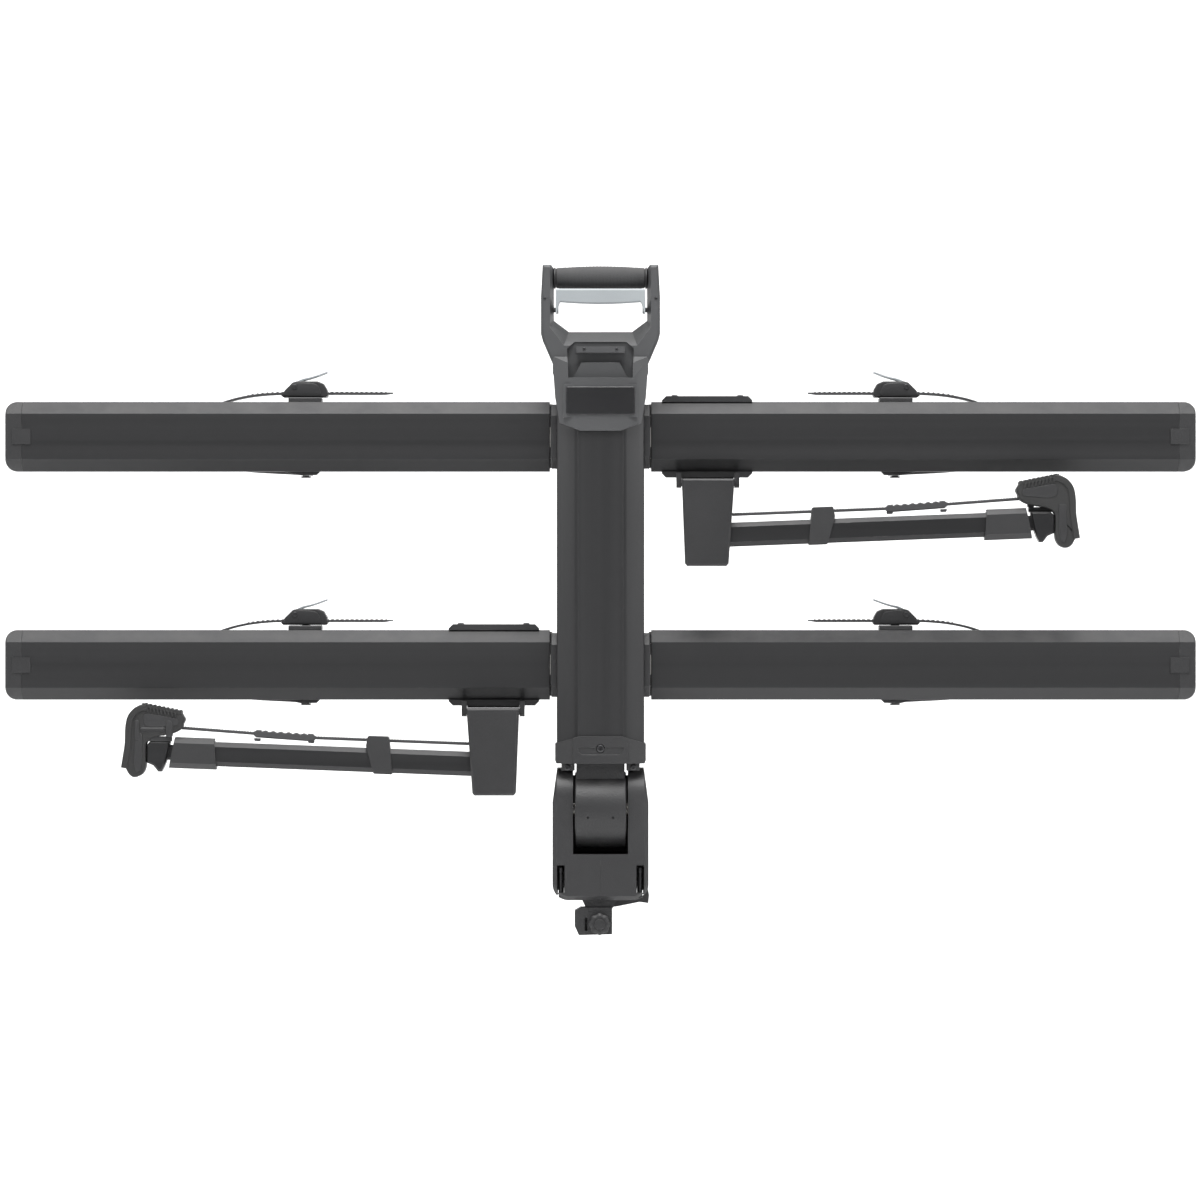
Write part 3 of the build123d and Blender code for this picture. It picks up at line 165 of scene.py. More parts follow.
# %% Settled dust
def build_dust():
    """Faces that look up in the rest position gather dust, in broken patches."""
    group, given, result = new_group("settled dust", [("Amount", 0.2)], ["Mask"])
    place = node(group, "ShaderNodeTexCoord")
    parts = node(group, "ShaderNodeSeparateXYZ", [(0, place.outputs["Normal"])])
    up = node(group, "ShaderNodeMapRange", [("Value", parts.outputs["Z"]), (1, 0.35), (2, 0.95)])
    spots = node(group, "ShaderNodeTexNoise",
                 [("Vector", place.outputs["Object"]), ("Scale", 34.0), ("Detail", 6.0)])
    held = node(group, "ShaderNodeMapRange", [("Value", spots.outputs[0]), (1, 0.35), (2, 0.75)])
    both = node(group, "ShaderNodeMath", [(0, up.outputs[0]), (1, held.outputs[0])],
                operation="MULTIPLY")
    out = node(group, "ShaderNodeMath", [(0, both.outputs[0]), (1, given.outputs["Amount"])],
               operation="MULTIPLY", use_clamp=True)
    group.links.new(out.outputs[0], result.inputs["Mask"])
    return group


dust = build_dust()
print("settled dust:", len(dust.nodes), "nodes")

# %% [markdown]
# ## Finishes
# Almost everything here is black, so what tells the pieces apart is how they are black: satin
# anodised extrusions with faint lines, grained nylon, powder-coated castings, soft rubber and dull
# strap plastic. One function builds all of them from the same few effects, and each finish is one
# row of values.

# %% A finish
def finish(name, colour, worn, rough, metal=0.0, fine=900.0, bump=0.0001, wear=0.4, dusty=0.15,
           lines=None, coat=0.0):
    """Base colour, worn where edges rub and paler where dust lies, with grain or drawn lines."""
    material = bpy.data.materials.new(name)
    material.use_nodes = True
    tree = material.node_tree
    shader = tree.nodes["Principled BSDF"]
    shader.inputs["Metallic"].default_value = metal
    shader.inputs["Coat Weight"].default_value = coat
    shader.inputs["Coat Roughness"].default_value = 0.25
    shader.inputs["Specular IOR Level"].default_value = 0.38
    surface = node(tree, "ShaderNodeGroup", node_tree=grain)
    surface.inputs["Scale"].default_value = fine
    height, clouds = surface.outputs["Height"], surface.outputs["Clouds"]
    if lines:
        drawn = node(tree, "ShaderNodeGroup", node_tree=drawn_lines)
        drawn.inputs["Along X"].default_value, drawn.inputs["Along Z"].default_value = lines
        height, clouds = drawn.outputs["Height"], drawn.outputs["Shade"]
    dark = tuple(c * 0.86 for c in colour) + (1.0,)
    light = tuple(c * 1.16 for c in colour) + (1.0,)
    toned = node(tree, "ShaderNodeMix", [("Factor", clouds), ("A", dark), ("B", light)],
                 data_type="RGBA")
    rubbed = node(tree, "ShaderNodeGroup", node_tree=edge_wear)
    rubbed.inputs["Amount"].default_value = wear
    base = node(tree, "ShaderNodeMix",
                [("Factor", rubbed.outputs["Mask"]), ("A", toned.outputs["Result"]), ("B", worn + (1.0,))],
                data_type="RGBA")
    settled = node(tree, "ShaderNodeGroup", node_tree=dust)
    settled.inputs["Amount"].default_value = dusty
    dusted = node(tree, "ShaderNodeMix",
                  [("Factor", settled.outputs["Mask"]), ("A", base.outputs["Result"]),
                   ("B", (0.22, 0.21, 0.2, 1.0))], data_type="RGBA")
    gloss = node(tree, "ShaderNodeMapRange",
                 [("Value", clouds), (1, 0.3), (2, 0.7), (3, rough - 0.05), (4, rough + 0.06)])
    dull = node(tree, "ShaderNodeMath", [(0, settled.outputs["Mask"]), (1, gloss.outputs[0])],
                operation="ADD", use_clamp=True)
    relief = node(tree, "ShaderNodeBump", [("Strength", 0.5), ("Distance", bump), ("Height", height)])
    tree.links.new(dusted.outputs["Result"], shader.inputs["Base Color"])
    tree.links.new(dull.outputs[0], shader.inputs["Roughness"])
    tree.links.new(relief.outputs[0], shader.inputs["Normal"])
    return material


# %% The set of finishes
black, bare = (0.022, 0.022, 0.023), (0.16, 0.16, 0.165)
FINISHES = {
    "shank_steel": finish("shank powder coat", black, bare, 0.5, fine=500, bump=0.0003, wear=0.6),
    "bracket_steel": finish("bracket powder coat", black, bare, 0.5, fine=500, bump=0.0003),
    "pin_steel": finish("zinc plate", (0.42, 0.41, 0.39), (0.6, 0.6, 0.6), 0.32, metal=1.0),
    "bolt_steel": finish("blackened screws", (0.06, 0.06, 0.062), bare, 0.35, metal=0.9, dusty=0.05),
    "cover_plastic": finish("hinge cover nylon", (0.026, 0.026, 0.027), (0.1, 0.1, 0.1), 0.47,
                            bump=0.0002, coat=0.1),
    "knob_plastic": finish("knob nylon", (0.02, 0.02, 0.021), (0.09, 0.09, 0.09), 0.45, bump=0.0002),
    "spine_aluminium": finish("spine anodising", (0.03, 0.03, 0.031), (0.2, 0.2, 0.2), 0.4, metal=0.35,
                              lines=(900.0, 2.0), bump=0.00004, wear=0.25),
    "tray_aluminium": finish("tray anodising", (0.028, 0.028, 0.029), (0.2, 0.2, 0.2), 0.42, metal=0.35,
                             lines=(2.0, 900.0), bump=0.00004, wear=0.25),
    "cast_metal": finish("casting powder coat", (0.024, 0.024, 0.025), bare, 0.45, fine=420,
                         bump=0.0003),
    "handle_plastic": finish("handle nylon", (0.058, 0.059, 0.061), (0.2, 0.2, 0.2), 0.48,
                             bump=0.0002, wear=0.3),
    "grip_rubber": finish("grip rubber", (0.04, 0.04, 0.041), (0.1, 0.1, 0.1), 0.7, fine=1400,
                          bump=0.0004, wear=0.1, dusty=0.25),
    "badge_plastic": finish("badge gloss", (0.014, 0.014, 0.015), (0.09, 0.09, 0.09), 0.24,
                            bump=0.00002, coat=0.5, wear=0.6),
    "lever_metal": finish("lever grey paint", (0.27, 0.29, 0.3), (0.5, 0.5, 0.5), 0.4, bump=0.0001),
    "cap_plastic": finish("end cap nylon", (0.024, 0.024, 0.025), (0.1, 0.1, 0.1), 0.5, bump=0.0002),
    "strap_plastic": finish("strap plastic", (0.05, 0.05, 0.052), (0.13, 0.13, 0.13), 0.5,
                            fine=1200, bump=0.0001, wear=0.2),
    "buckle_plastic": finish("buckle nylon", (0.022, 0.022, 0.023), (0.1, 0.1, 0.1), 0.42, bump=0.0001),
    "jaw_rubber": finish("jaw rubber", (0.022, 0.022, 0.022), (0.08, 0.08, 0.08), 0.62, fine=1200,
                         bump=0.0004, wear=0.15),
    "arm_aluminium": finish("arm anodising", (0.024, 0.024, 0.025), (0.2, 0.2, 0.2), 0.36, metal=0.35,
                            lines=(2.0, 900.0), bump=0.00004),
}
print(len(FINISHES), "finishes")

# %% [markdown]
# ## Eased corners
# A casting, an extrusion or a moulding never ends in a knife edge: its corners catch a thin line
# of light. Sculpting that in by hand would be slow, and a shader trick would leave the outline
# sharp. So a copy of each hard piece has its triangles merged into flats, and a bevel modifier
# rounds only the edges that really turn.

# %% Ease a hard piece
def eased(name, width, turn=28.0, steps=2):
    """A merged copy of a CAD piece whose edges turn over a rounding of this width, in mm."""
    mesh = frame["nodes"][name].data.copy()
    work = bmesh.new()
    work.from_mesh(mesh)
    bmesh.ops.remove_doubles(work, verts=work.verts, dist=2e-5)
    bmesh.ops.dissolve_limit(work, angle_limit=radians(0.8), verts=work.verts, edges=work.edges)
    work.to_mesh(mesh)
    work.free()
    for attribute in [a for a in mesh.attributes if a.name == "custom_normal"]:
        mesh.attributes.remove(attribute)
    mesh.shade_smooth()
    mesh.set_sharp_from_angle(angle=radians(turn))
    piece = bpy.data.objects.new(name + "_look", mesh)
    bpy.context.collection.objects.link(piece)
    bevel = piece.modifiers.new("eased corners", "BEVEL")
    bevel.width, bevel.segments = width * MM, steps
    bevel.limit_method, bevel.angle_limit = "ANGLE", radians(turn)
    bevel.harden_normals = True
    dress(piece, slot_of_node[name])
    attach(piece, body_of_node[name])
    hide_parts(name)
    return piece


def dress(piece, slot):
    """Gives a piece the finish of its slot."""
    piece.data.materials.clear()
    piece.data.materials.append(FINISHES[slot])


EASED = {
    "handle_frame": 1.4, "housing_left": 1.2, "housing_right": 1.2, "hinge_drum": 0.8,
    "lower_collar": 1.0, "spine_beam": 0.9, "knob_bracket": 0.9, "pivot_bracket": 0.8,
    "receiver_shank": 0.6, "clamp_foot": 0.8, "badge_plate": 0.6, "upper_cradle": 1.0,
    "lower_cradle": 1.0, "fold_pins": 0.5, "pivot_pin": 0.5, "housing_bolts": 0.4,
    "release_rod": 0.4,
}
for level in LEVELS:
    for side in ("left", "right"):
        EASED[f"{level}_{side}_tray"] = 0.7
        EASED[f"{level}_{side}_end_cap"] = 0.8
        EASED[f"{level}_{side}_strap_mount"] = 0.6
        EASED[f"{level}_{side}_strap_buckle"] = 0.7
    for part, width in (("arm_saddle", 1.2), ("arm_clevis", 1.4), ("arm_tube", 0.9),
                        ("arm_collar", 1.1), ("arm_extension", 0.8)):
        EASED[f"{level}_{part}"] = width
for name, width in EASED.items():
    eased(name, width)
print(len(EASED), "pieces eased")

# %% [markdown]
# ## Tools for new pieces
# The other pieces are surfaces worked out as whole arrays. A ring is an array of points round a
# section, a stack of rings is a skin, and two flat caps close it.

# %% Skins from rings
def skin(rings):
    """Points and faces of a tube through rings of shape (count, around, 3), closed at both ends."""
    count, around = rings.shape[:2]
    start = np.arange(count - 1)[:, None] * around
    here = np.arange(around)[None, :]
    ahead = (here + 1) % around
    quads = np.stack([start + here, start + ahead, start + around + ahead, start + around + here], -1)
    ends = [list(range(around))[::-1], list(range((count - 1) * around, count * around))]
    return rings.reshape(-1, 3), quads.reshape(-1, 4).tolist() + ends


def joined(*skins):
    """Several skins as one list of points and one of faces."""
    points, faces, total = [], [], 0
    for part, quads in skins:
        points.append(part)
        faces += [[i + total for i in face] for face in quads]
        total += len(part)
    return np.concatenate(points), faces


def build(name, made, body, slot, stands_for=(), turn=35.0):
    """Makes the object from points in millimetres, with its faces turned outwards."""
    points, faces = made
    mesh = bpy.data.meshes.new(name)
    mesh.from_pydata((points * MM).tolist(), [], faces)
    work = bmesh.new()
    work.from_mesh(mesh)
    bmesh.ops.remove_doubles(work, verts=work.verts, dist=1e-6)
    bmesh.ops.recalc_face_normals(work, faces=work.faces)
    work.to_mesh(mesh)
    work.free()
    mesh.shade_smooth()
    mesh.set_sharp_from_angle(angle=radians(turn))
    piece = bpy.data.objects.new(name, mesh)
    bpy.context.collection.objects.link(piece)
    dress(piece, slot)
    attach(piece, body)
    if stands_for:
        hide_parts(*stands_for)
    return piece


# %% Outlines with rounded corners
def rounded(points, radius, steps=6, closed=True):
    """Each corner becomes a quadratic curve from one side to the other, reaching radius back."""
    corner = np.asarray(points, float)
    before, after = np.roll(corner, 1, 0), np.roll(corner, -1, 0)
    if not closed:
        before[0], after[-1] = corner[0], corner[-1]
    reach = np.broadcast_to(radius, len(corner))[:, None]

    def back(other):
        way = other - corner
        length = np.maximum(np.linalg.norm(way, axis=1, keepdims=True), 1e-9)
        return corner + way / length * np.minimum(reach, 0.46 * length)

    t = np.linspace(0, 1, steps)[None, :, None]
    a, b = back(before)[:, None], back(after)[:, None]
    curve = ((1 - t) ** 2 * a + 2 * t * (1 - t) * corner[:, None] + t**2 * b).reshape(-1, 2)
    keep = np.linalg.norm(curve - np.roll(curve, 1, 0), axis=1) > 1e-6
    return curve[keep]


def inset(outline, depth):
    """Moves every side of a closed outline inwards by depth, along the corners' bisectors."""
    side = np.roll(outline, -1, 0) - outline
    side /= np.linalg.norm(side, axis=1, keepdims=True)
    normal = np.stack([-side[:, 1], side[:, 0]], 1)
    x, z = outline.T
    area = np.sum(x * np.roll(z, -1) - np.roll(x, -1) * z)
    normal *= np.sign(area)
    mitre = normal + np.roll(normal, 1, 0)
    mitre /= np.maximum(np.sum(mitre * normal, 1, keepdims=True), 0.7)
    return outline + mitre * depth


# %% Pressed plates
def pressed(outline, low, high, edge=1.0, steps=4, along="y"):
    """An outline in X and Z carried from low to high in Y, its rim rounded like a quarter circle.
    With along="x" the outline is in Y and Z and is carried in X."""
    turn = np.linspace(0, np.pi / 2, steps)
    depth = edge * (1 - np.sin(turn))
    ahead = edge * (1 - np.cos(turn))
    place = np.concatenate([low + ahead, high - ahead[::-1]])
    inward = np.concatenate([depth, depth[::-1]])
    flat = np.stack([inset(outline, d) for d in inward])
    across = np.broadcast_to(place[:, None], flat.shape[:2])
    order = (flat[..., 0], across, flat[..., 1]) if along == "y" else (across, flat[..., 0], flat[..., 1])
    return skin(np.stack(order, -1))


# %% Turned pieces
def turned(centre, profile, around=48, ribs=0, rib_depth=0.0):
    """A profile of (x, radius) turned round an X axis through centre, with cosine ribs round it."""
    x, radius = np.asarray(profile, float).T
    angle = np.linspace(0, 2 * np.pi, around, endpoint=False)
    wave = rib_depth * (1 - np.cos(ribs * angle)) / 2 if ribs else np.zeros(around)
    r = np.maximum(radius[:, None] - wave[None, :] * (radius[:, None] > 3), 0.01)
    y = centre[1] + r * np.cos(angle)
    z = centre[2] + r * np.sin(angle)
    return skin(np.stack([np.broadcast_to(centre[0] + x[:, None], y.shape), y, z], -1))


# %% Straps and levers along a path
def resample(path, spacing):
    """Points at equal distances along a path in X and Z, and each one's distance from its start."""
    step = np.linalg.norm(np.diff(path, axis=0), axis=1)
    distance = np.concatenate([[0], np.cumsum(step)])
    s = np.linspace(0, distance[-1], max(int(distance[-1] / spacing), 3))
    return np.stack([np.interp(s, distance, path[:, k]) for k in (0, 1)], 1), s


def carried(path, centre_y, half_width, above, below, corner=0.8):
    """A rounded bar along a path in X and Z: half_width in Y, above and below along its normal.
    Every size may be one value for each point of the path."""
    count = len(path)
    way = np.gradient(path, axis=0)
    way /= np.linalg.norm(way, axis=1, keepdims=True)
    normal = np.stack([-way[:, 1], way[:, 0]], 1)
    w, up, down = (np.broadcast_to(v, count)[:, None] for v in (half_width, above, below))
    c = np.minimum(np.minimum(corner, w * 0.45), (up + down) * 0.3)
    y = np.concatenate([-w, -w, -w + c, w - c, w, w, w - c, -w + c], 1)
    n = np.concatenate([-down + c, up - c, up, up, up - c, -down + c, -down, -down], 1)
    x = path[:, :1] + normal[:, :1] * n
    z = path[:, 1:] + normal[:, 1:] * n
    return skin(np.stack([x, centre_y + y, z], -1))


def flipped(made):
    """The same piece mirrored to the other side of the spine."""
    points, faces = made
    return points * [-1, 1, 1], [face[::-1] for face in faces]


def lifted(made, z):
    return made[0] + [0, 0, z], made[1]


print("tools ready")

# %% [markdown]
# ## Grip and trigger
# The grip is a rubber barrel, fuller in the middle of the hand, held between two hard end rings.
# It is a body of turning, so one profile says all of it. The trigger below it is a painted bar
# that nearly fills the space under the grip. Its depth changes along its length: it slants down at
# both ends into two short legs, which hang on pins in the posts.

# %% The grip
GRIP_Y, GRIP_Z = PIVOT_Y - 8, 706.5
x = np.linspace(-54.2, 54.2, 65)
barrel = 12.0 + 2.5 * (1 - (x / 55) ** 2) - 0.18 * (1 - np.cos(x * 2 * np.pi / 4.2)) * (np.abs(x) < 42)
barrel[[0, -1]] = 10.5
collar = [(-1.1, 9), (-1.1, 12.4), (-0.6, 13), (0.6, 13), (1.1, 12.4), (1.1, 9)]
rings = [turned((s * 54.9, GRIP_Y, GRIP_Z), collar) for s in (-1, 1)]
grip = build("grip_barrel", turned((0, GRIP_Y, GRIP_Z), np.stack([x, barrel], 1), 64),
             "rack", "grip_rubber", ["handle_grip"])
build("grip_end_rings", joined(*rings), "rack", "knob_plastic")
print("grip", len(grip.data.polygons), "faces")

# %% The trigger
x = np.linspace(-53.6, 53.6, 121)
out = np.abs(x) / 53.6
middle = np.stack([x, np.full(x.shape, 683.8)], 1)
drop = 9.6 - 2.0 * np.clip(out / 0.86, 0, 1) ** 2 + 18.0 * np.clip((out - 0.9) / 0.1, 0, 1) ** 1.3
bar = carried(middle, PIVOT_Y - 29.8, 5.0, 9.0, drop, 2.0)
leg = rounded([(-34, 672), (-34, 683), (-24, 684), (-17.4, 678), (-7.2, 670), (-7.4, 664.6),
               (-12, 662.8), (-17, 664)], 3) + [PIVOT_Y, 0]
legs = [pressed(leg, *sorted((s * 50.3, s * 53.8)), 0.6, along="x") for s in (-1, 1)]
trigger = build("trigger_bar", joined(bar, *legs), "trigger", "lever_metal", ["release_lever"])
print("trigger", len(trigger.data.polygons), "faces")

# %% [markdown]
# ## Ladder straps
# Each wheel strap is a stiff plastic band with a ladder of ribs that the buckle's pawl climbs. It
# stands on edge, leaves the buckle level, and loops back under the tray to its pin. A band carried
# along one path gives it, and the ribs are a wave in its thickness, not separate blocks.

# %% A wheel strap
STRAP_Y = PIVOT_Y + 40
LEVER_HUB = (369.4, 62.0)


def wheel_strap():
    """A band along the loop: 1.25 mm above its path and 1.6 mm below, ribs every 6 mm, a thin tail."""
    loop = rounded([(251, 53), (434, 53), (507.5, 18), (507.5, -18), (450, -40), (348.4, -45)],
                   [0, 55, 22, 22, 45, 0], 14, closed=False)
    path, s = resample(loop, 1.2)
    ribs = np.clip(np.sin(s * 2 * np.pi / 6.0) * 3, 0, 1)
    ribbed = (s > 8) & (s < 175)
    tail = np.clip(s / 10, 0.25, 1)
    lug = np.clip((s - s[-1] + 26) / 12, 0, 1)
    return carried(path, STRAP_Y, 12.4 * (0.82 + 0.18 * np.clip(s / 8, 0, 1)),
                   1.25 + 0.85 * ribs * ribbed + 0.2 * lug, 1.6 * tail + 0.3 * lug, 0.6)


# %% [markdown]
# ## Buckles and ratchet levers
# The buckle body is a moulding with two cheeks. Between them turns a paddle lever: thick where it
# wraps its pin, thin and curled up at the thumb end. The lever is again a bar along a path, with
# thickness and width that change on the way.

# %% A ratchet lever
def ratchet_lever():
    """A bar from the hub to the thumb end; it thins by the root of the way and fans out in width."""
    hub = np.array(LEVER_HUB)
    line = rounded([hub + (1.5, 1.0), hub + (-8, 7.2), hub + (-22, 10.2), hub + (-39.2, 16.6)],
                   [0, 7, 9, 0], 10, closed=False)
    path, s = resample(line, 0.7)
    u = s / s[-1]
    thick = 1.5 + 1.3 * (1 - u) ** 1.5
    ridges = 0.3 * (np.sin(s * 2 * np.pi / 2.4) > 0.2) * ((u > 0.68) & (u < 0.95))
    width = 10.4 + 1.6 * u**2 - 2.2 * np.clip((u - 0.94) / 0.06, 0, 1) ** 2
    blade = carried(path, STRAP_Y, width, thick * 0.62 + ridges, thick * 0.6, 0.5)
    a = np.linspace(0, 2 * np.pi, 40, endpoint=False)
    ring = np.stack([hub[0] + 4.9 * np.cos(a), hub[1] + 4.9 * np.sin(a)], 1)
    return joined(blade, pressed(ring, STRAP_Y - 11.6, STRAP_Y + 11.6, 0.9))


# %% Cheeks and screws of a buckle
def buckle_trim():
    """Two raised cheeks, each a rounded hill outline, with a domed pin head in it."""
    hill = rounded([(337.2, 48.8), (338.4, 58), (343, 64.2), (351, 65.4), (366.5, 65.8),
                    (374, 63.2), (381, 56), (384.6, 49.6)], 6)
    cheeks, heads = [], []
    a = np.linspace(0, 2 * np.pi, 24, endpoint=False)
    for s in (-1, 1):
        low, high = sorted((STRAP_Y + s * 17.4, STRAP_Y + s * 19.2))
        cheeks.append(pressed(hill, low, high, 0.8))
        low, high = sorted((STRAP_Y + s * 19.0, STRAP_Y + s * 20.3))
        head = np.stack([LEVER_HUB[0] + 3.2 * np.cos(a), LEVER_HUB[1] - 1.4 + 3.2 * np.sin(a)], 1)
        heads.append(pressed(head, low, high, 0.6))
    return joined(*cheeks), joined(*heads)


# %% Place the strap sets on the four trays
cheeks, heads = buckle_trim()
sets = {"wheel_strap": (wheel_strap(), "strap", "strap_plastic"),
        "ratchet_lever": (ratchet_lever(), "lever", "lever_metal")}
for level, z in LEVELS.items():
    for side in ("left", "right"):
        key = f"{level}_{side}"
        for part, (shape, body, slot) in sets.items():
            shape = flipped(shape) if side == "left" else shape
            build(f"{key}_{part}_look", lifted(shape, z), f"{key}_{body}", slot, [f"{key}_{part}"])
        for part, shape, slot in (("cheeks", cheeks, "buckle_plastic"), ("pin_heads", heads, "bolt_steel")):
            shape = flipped(shape) if side == "left" else shape
            build(f"{key}_buckle_{part}", lifted(shape, z), f"{key}_strap", slot)
print("four strap sets placed")

# %% [markdown]
# ## The arm's head
# At the end of each sliding arm a rubber jaw hooks over the bicycle's frame, and a ribbed roller
# winds the frame strap in. The jaw is a plate of rubber with a soft rim and a proud band round its
# outer side. Its gripping top has a row of teeth, and each side has nine more. The strap carries a
# moulded sleeve with windows, which keeps the strap from the paint.

# %% Where the arm's pieces go
ARM_Y = PIVOT_Y - 28
SLOPE = radians(2.2)


def on_arm(made, level, sloped=True):
    """Turns a shape from the arm's own frame to the stored arm, half a turn round for the lower one."""
    points, faces = made
    x, y, z = points.T
    if sloped:
        x, z = x * np.cos(SLOPE) - z * np.sin(SLOPE), x * np.sin(SLOPE) + z * np.cos(SLOPE)
    out = np.stack([x + 128, y + ARM_Y, z - 119.5 + LEVELS[level]], 1)
    if level == "lower":
        out = np.stack([-out[:, 0], 2 * ARM_Y - out[:, 1], out[:, 2]], 1)
    return out, faces


# %% The jaw
def jaw_body():
    """Pad, heel and finger as one plate with a soft rim, and a proud band round the outer side."""
    outline = rounded(
        [(422, 73.4), (431.6, 67.6), (439.4, 57.4), (440.6, 44), (440.8, 26), (445.4, -3.8),
         (441.2, -3.2), (437.4, -11.2), (431, -15.6), (421.6, -12.2), (417, -4), (417, 27),
         (409, 33), (383, 37.6), (372.6, 44), (372.6, 49), (369.4, 54), (375, 63.6)],
        [5, 5, 7, 8, 9, 1.5, 2, 4, 4, 5, 6, 5, 6, 6, 3, 3, 3, 4], 6)
    spine = rounded([(415.5, 69.4), (427.4, 66.6), (435.6, 57.2), (437.8, 43.6), (437.8, 26), (442.6, -3.6)],
                    [0, 8, 9, 9, 9, 0], 8, closed=False)
    path, _ = resample(spine, 1.5)
    return joined(pressed(outline, -15.6, 15.6, 2.2), carried(path, 0.0, 17.3, 4.0, 4.0, 1.3))


def jaw_panel():
    """A raised panel on each side of the pad, under the teeth, and one down the finger."""
    pad = rounded([(377, 47.6), (408, 45), (419, 47.6), (420.4, 59.6), (415, 62), (377.4, 55.6)], 4)
    finger = rounded([(421, 38), (430, 38), (431.4, 0), (428.5, -9), (423.4, -7), (421, 6)], 3)
    sides = [sorted((s * 15.4, s * 16.3)) for s in (-1, 1)]
    return joined(*[pressed(shape, *pair, 0.7) for shape in (pad, finger) for pair in sides])


def jaw_side_teeth():
    """Nine slanted teeth on each side of the pad; their tops follow z = 63.6 + 0.21 (x - 375)."""
    made = []
    for x in np.linspace(380.4, 414.6, 9):
        top = 61.9 + 0.21 * (x - 375)
        tooth = rounded([(x, top), (x + 2.3, top + 0.5), (x + 1.5, top - 6.2), (x - 0.8, top - 6.6)], 0.7, 4)
        made += [pressed(tooth, *sorted((s * 15.2, s * 17.1)), 0.4, 3) for s in (-1, 1)]
    return joined(*made)


def jaw_teeth():
    """Saw teeth, one every 5.2 mm along the slope; each rises as a bent hump from its root."""
    x = np.linspace(373.8, 421.6, 230)
    rise = 62.4 + (x - 373.8) * 0.2
    tooth = 1 - np.abs(((x - 373.8) / 5.2 % 1) * 2 - 1) ** 2.2
    return carried(np.stack([x, rise], 1), 0.0, 16.2, 0.6 + 2.4 * tooth, 2.4, 0.5)


def jaw_axle_block():
    """The block beside the roller that locks the strap, its far bearing, and the tie under both."""
    block = [(385, 33.6), (392.6, 33.6), (392.6, 52.5), (388, 54), (384, 50)]
    near = pressed(rounded(block, 2.4), 0.0, 17.0, 0.8)
    far = pressed(rounded([(424.8, 30), (430, 30), (430, 54), (424.8, 54)], 2), 0.0, 17.0, 0.8)
    tie = pressed(rounded([(386, 28.4), (417.4, 28.4), (417.4, 34.2), (386, 34.2)], 1), -2.0, 14.0, 0.6)
    return joined(near, far, tie)


# %% The roller and the strap
def roller():
    """A barrel with twelve deep flutes and chamfered ends, on its axle."""
    profile = [(393.8, 4), (393.8, 7.6), (395.2, 8.6), (422.4, 8.6), (423.8, 7.6), (423.8, 4)]
    x, r = np.asarray(profile).T
    fine = np.linspace(x[1], x[-2], 24)
    middle = np.stack([fine, np.interp(fine, x[1:-1], r[1:-1])], 1)
    return turned((0, 8.5, 43.5), np.concatenate([[profile[0]], middle, [profile[-1]]]), 96, 12, 1.1)


def frame_strap():
    """A flat ribbed cord that bends up gently, and a sleeve with six windows and two feet."""
    x = np.linspace(31, 375.6, 700)
    rise = 5.6 * np.clip((x - 215) / 157, 0, 1) ** 1.05
    line = np.stack([x, 24 + rise], 1)
    rib = 0.4 * (np.sin(x * 2 * np.pi / 3.4) > 0)
    cord = carried(line, 0.0, 3.9, 1.7 + rib, 1.8, 0.6)
    s = np.linspace(215.5, 289, 280)
    u = (s - 215.5) / 73.5
    lift = 24 + 5.6 * np.clip((s - 215) / 157, 0, 1) ** 1.05
    window = 0.5 - 0.5 * np.cos(2 * np.pi * np.clip((u - 0.12) / 0.76, 0, 1) * 6)
    body = 4.6 * np.clip(np.minimum(u, 1 - u) / 0.04, 0.35, 1) ** 0.5
    sleeve = carried(np.stack([s, lift], 1), 0.0, 4.8, body - 1.5 * (1 - window) * ((u > 0.12) & (u < 0.88)),
                     body, 1.1)
    feet = [pressed(rounded([(a, 17.4), (a + 7, 17.4), (a + 8, 21), (a - 0.4, 21)], 1.2), -3.8, 3.8, 0.6)
            for a in (216.4, 281.0)]
    return joined(cord, sleeve, *feet)


# %% Build both heads
for level in LEVELS:
    slide = f"{level}_arm_slide"
    build(f"{level}_jaw_body", on_arm(jaw_body(), level, False), slide, "jaw_rubber", [f"{level}_clamp_jaw"])
    build(f"{level}_jaw_teeth", on_arm(jaw_teeth(), level, False), slide, "jaw_rubber")
    build(f"{level}_jaw_side_teeth", on_arm(jaw_side_teeth(), level, False), slide, "jaw_rubber")
    build(f"{level}_jaw_panels", on_arm(jaw_panel(), level, False), slide, "cover_plastic")
    build(f"{level}_jaw_bearings", on_arm(jaw_axle_block(), level, False), slide, "cover_plastic")
    build(f"{level}_roller_look", on_arm(roller(), level, False), f"{level}_roller", "knob_plastic",
          [f"{level}_clamp_knob"])
    build(f"{level}_frame_strap", on_arm(frame_strap(), level), slide, "strap_plastic",
          [f"{level}_clamp_strap"])
print("two heads built")

# %% [markdown]
# ## The screw's knob and small screws
# The knob under the hinge has eight lobes, so that a cold hand can turn it. Small screws sit in
# the saddles, the head and the drum; each is a low dome with a socket, turned from one profile.

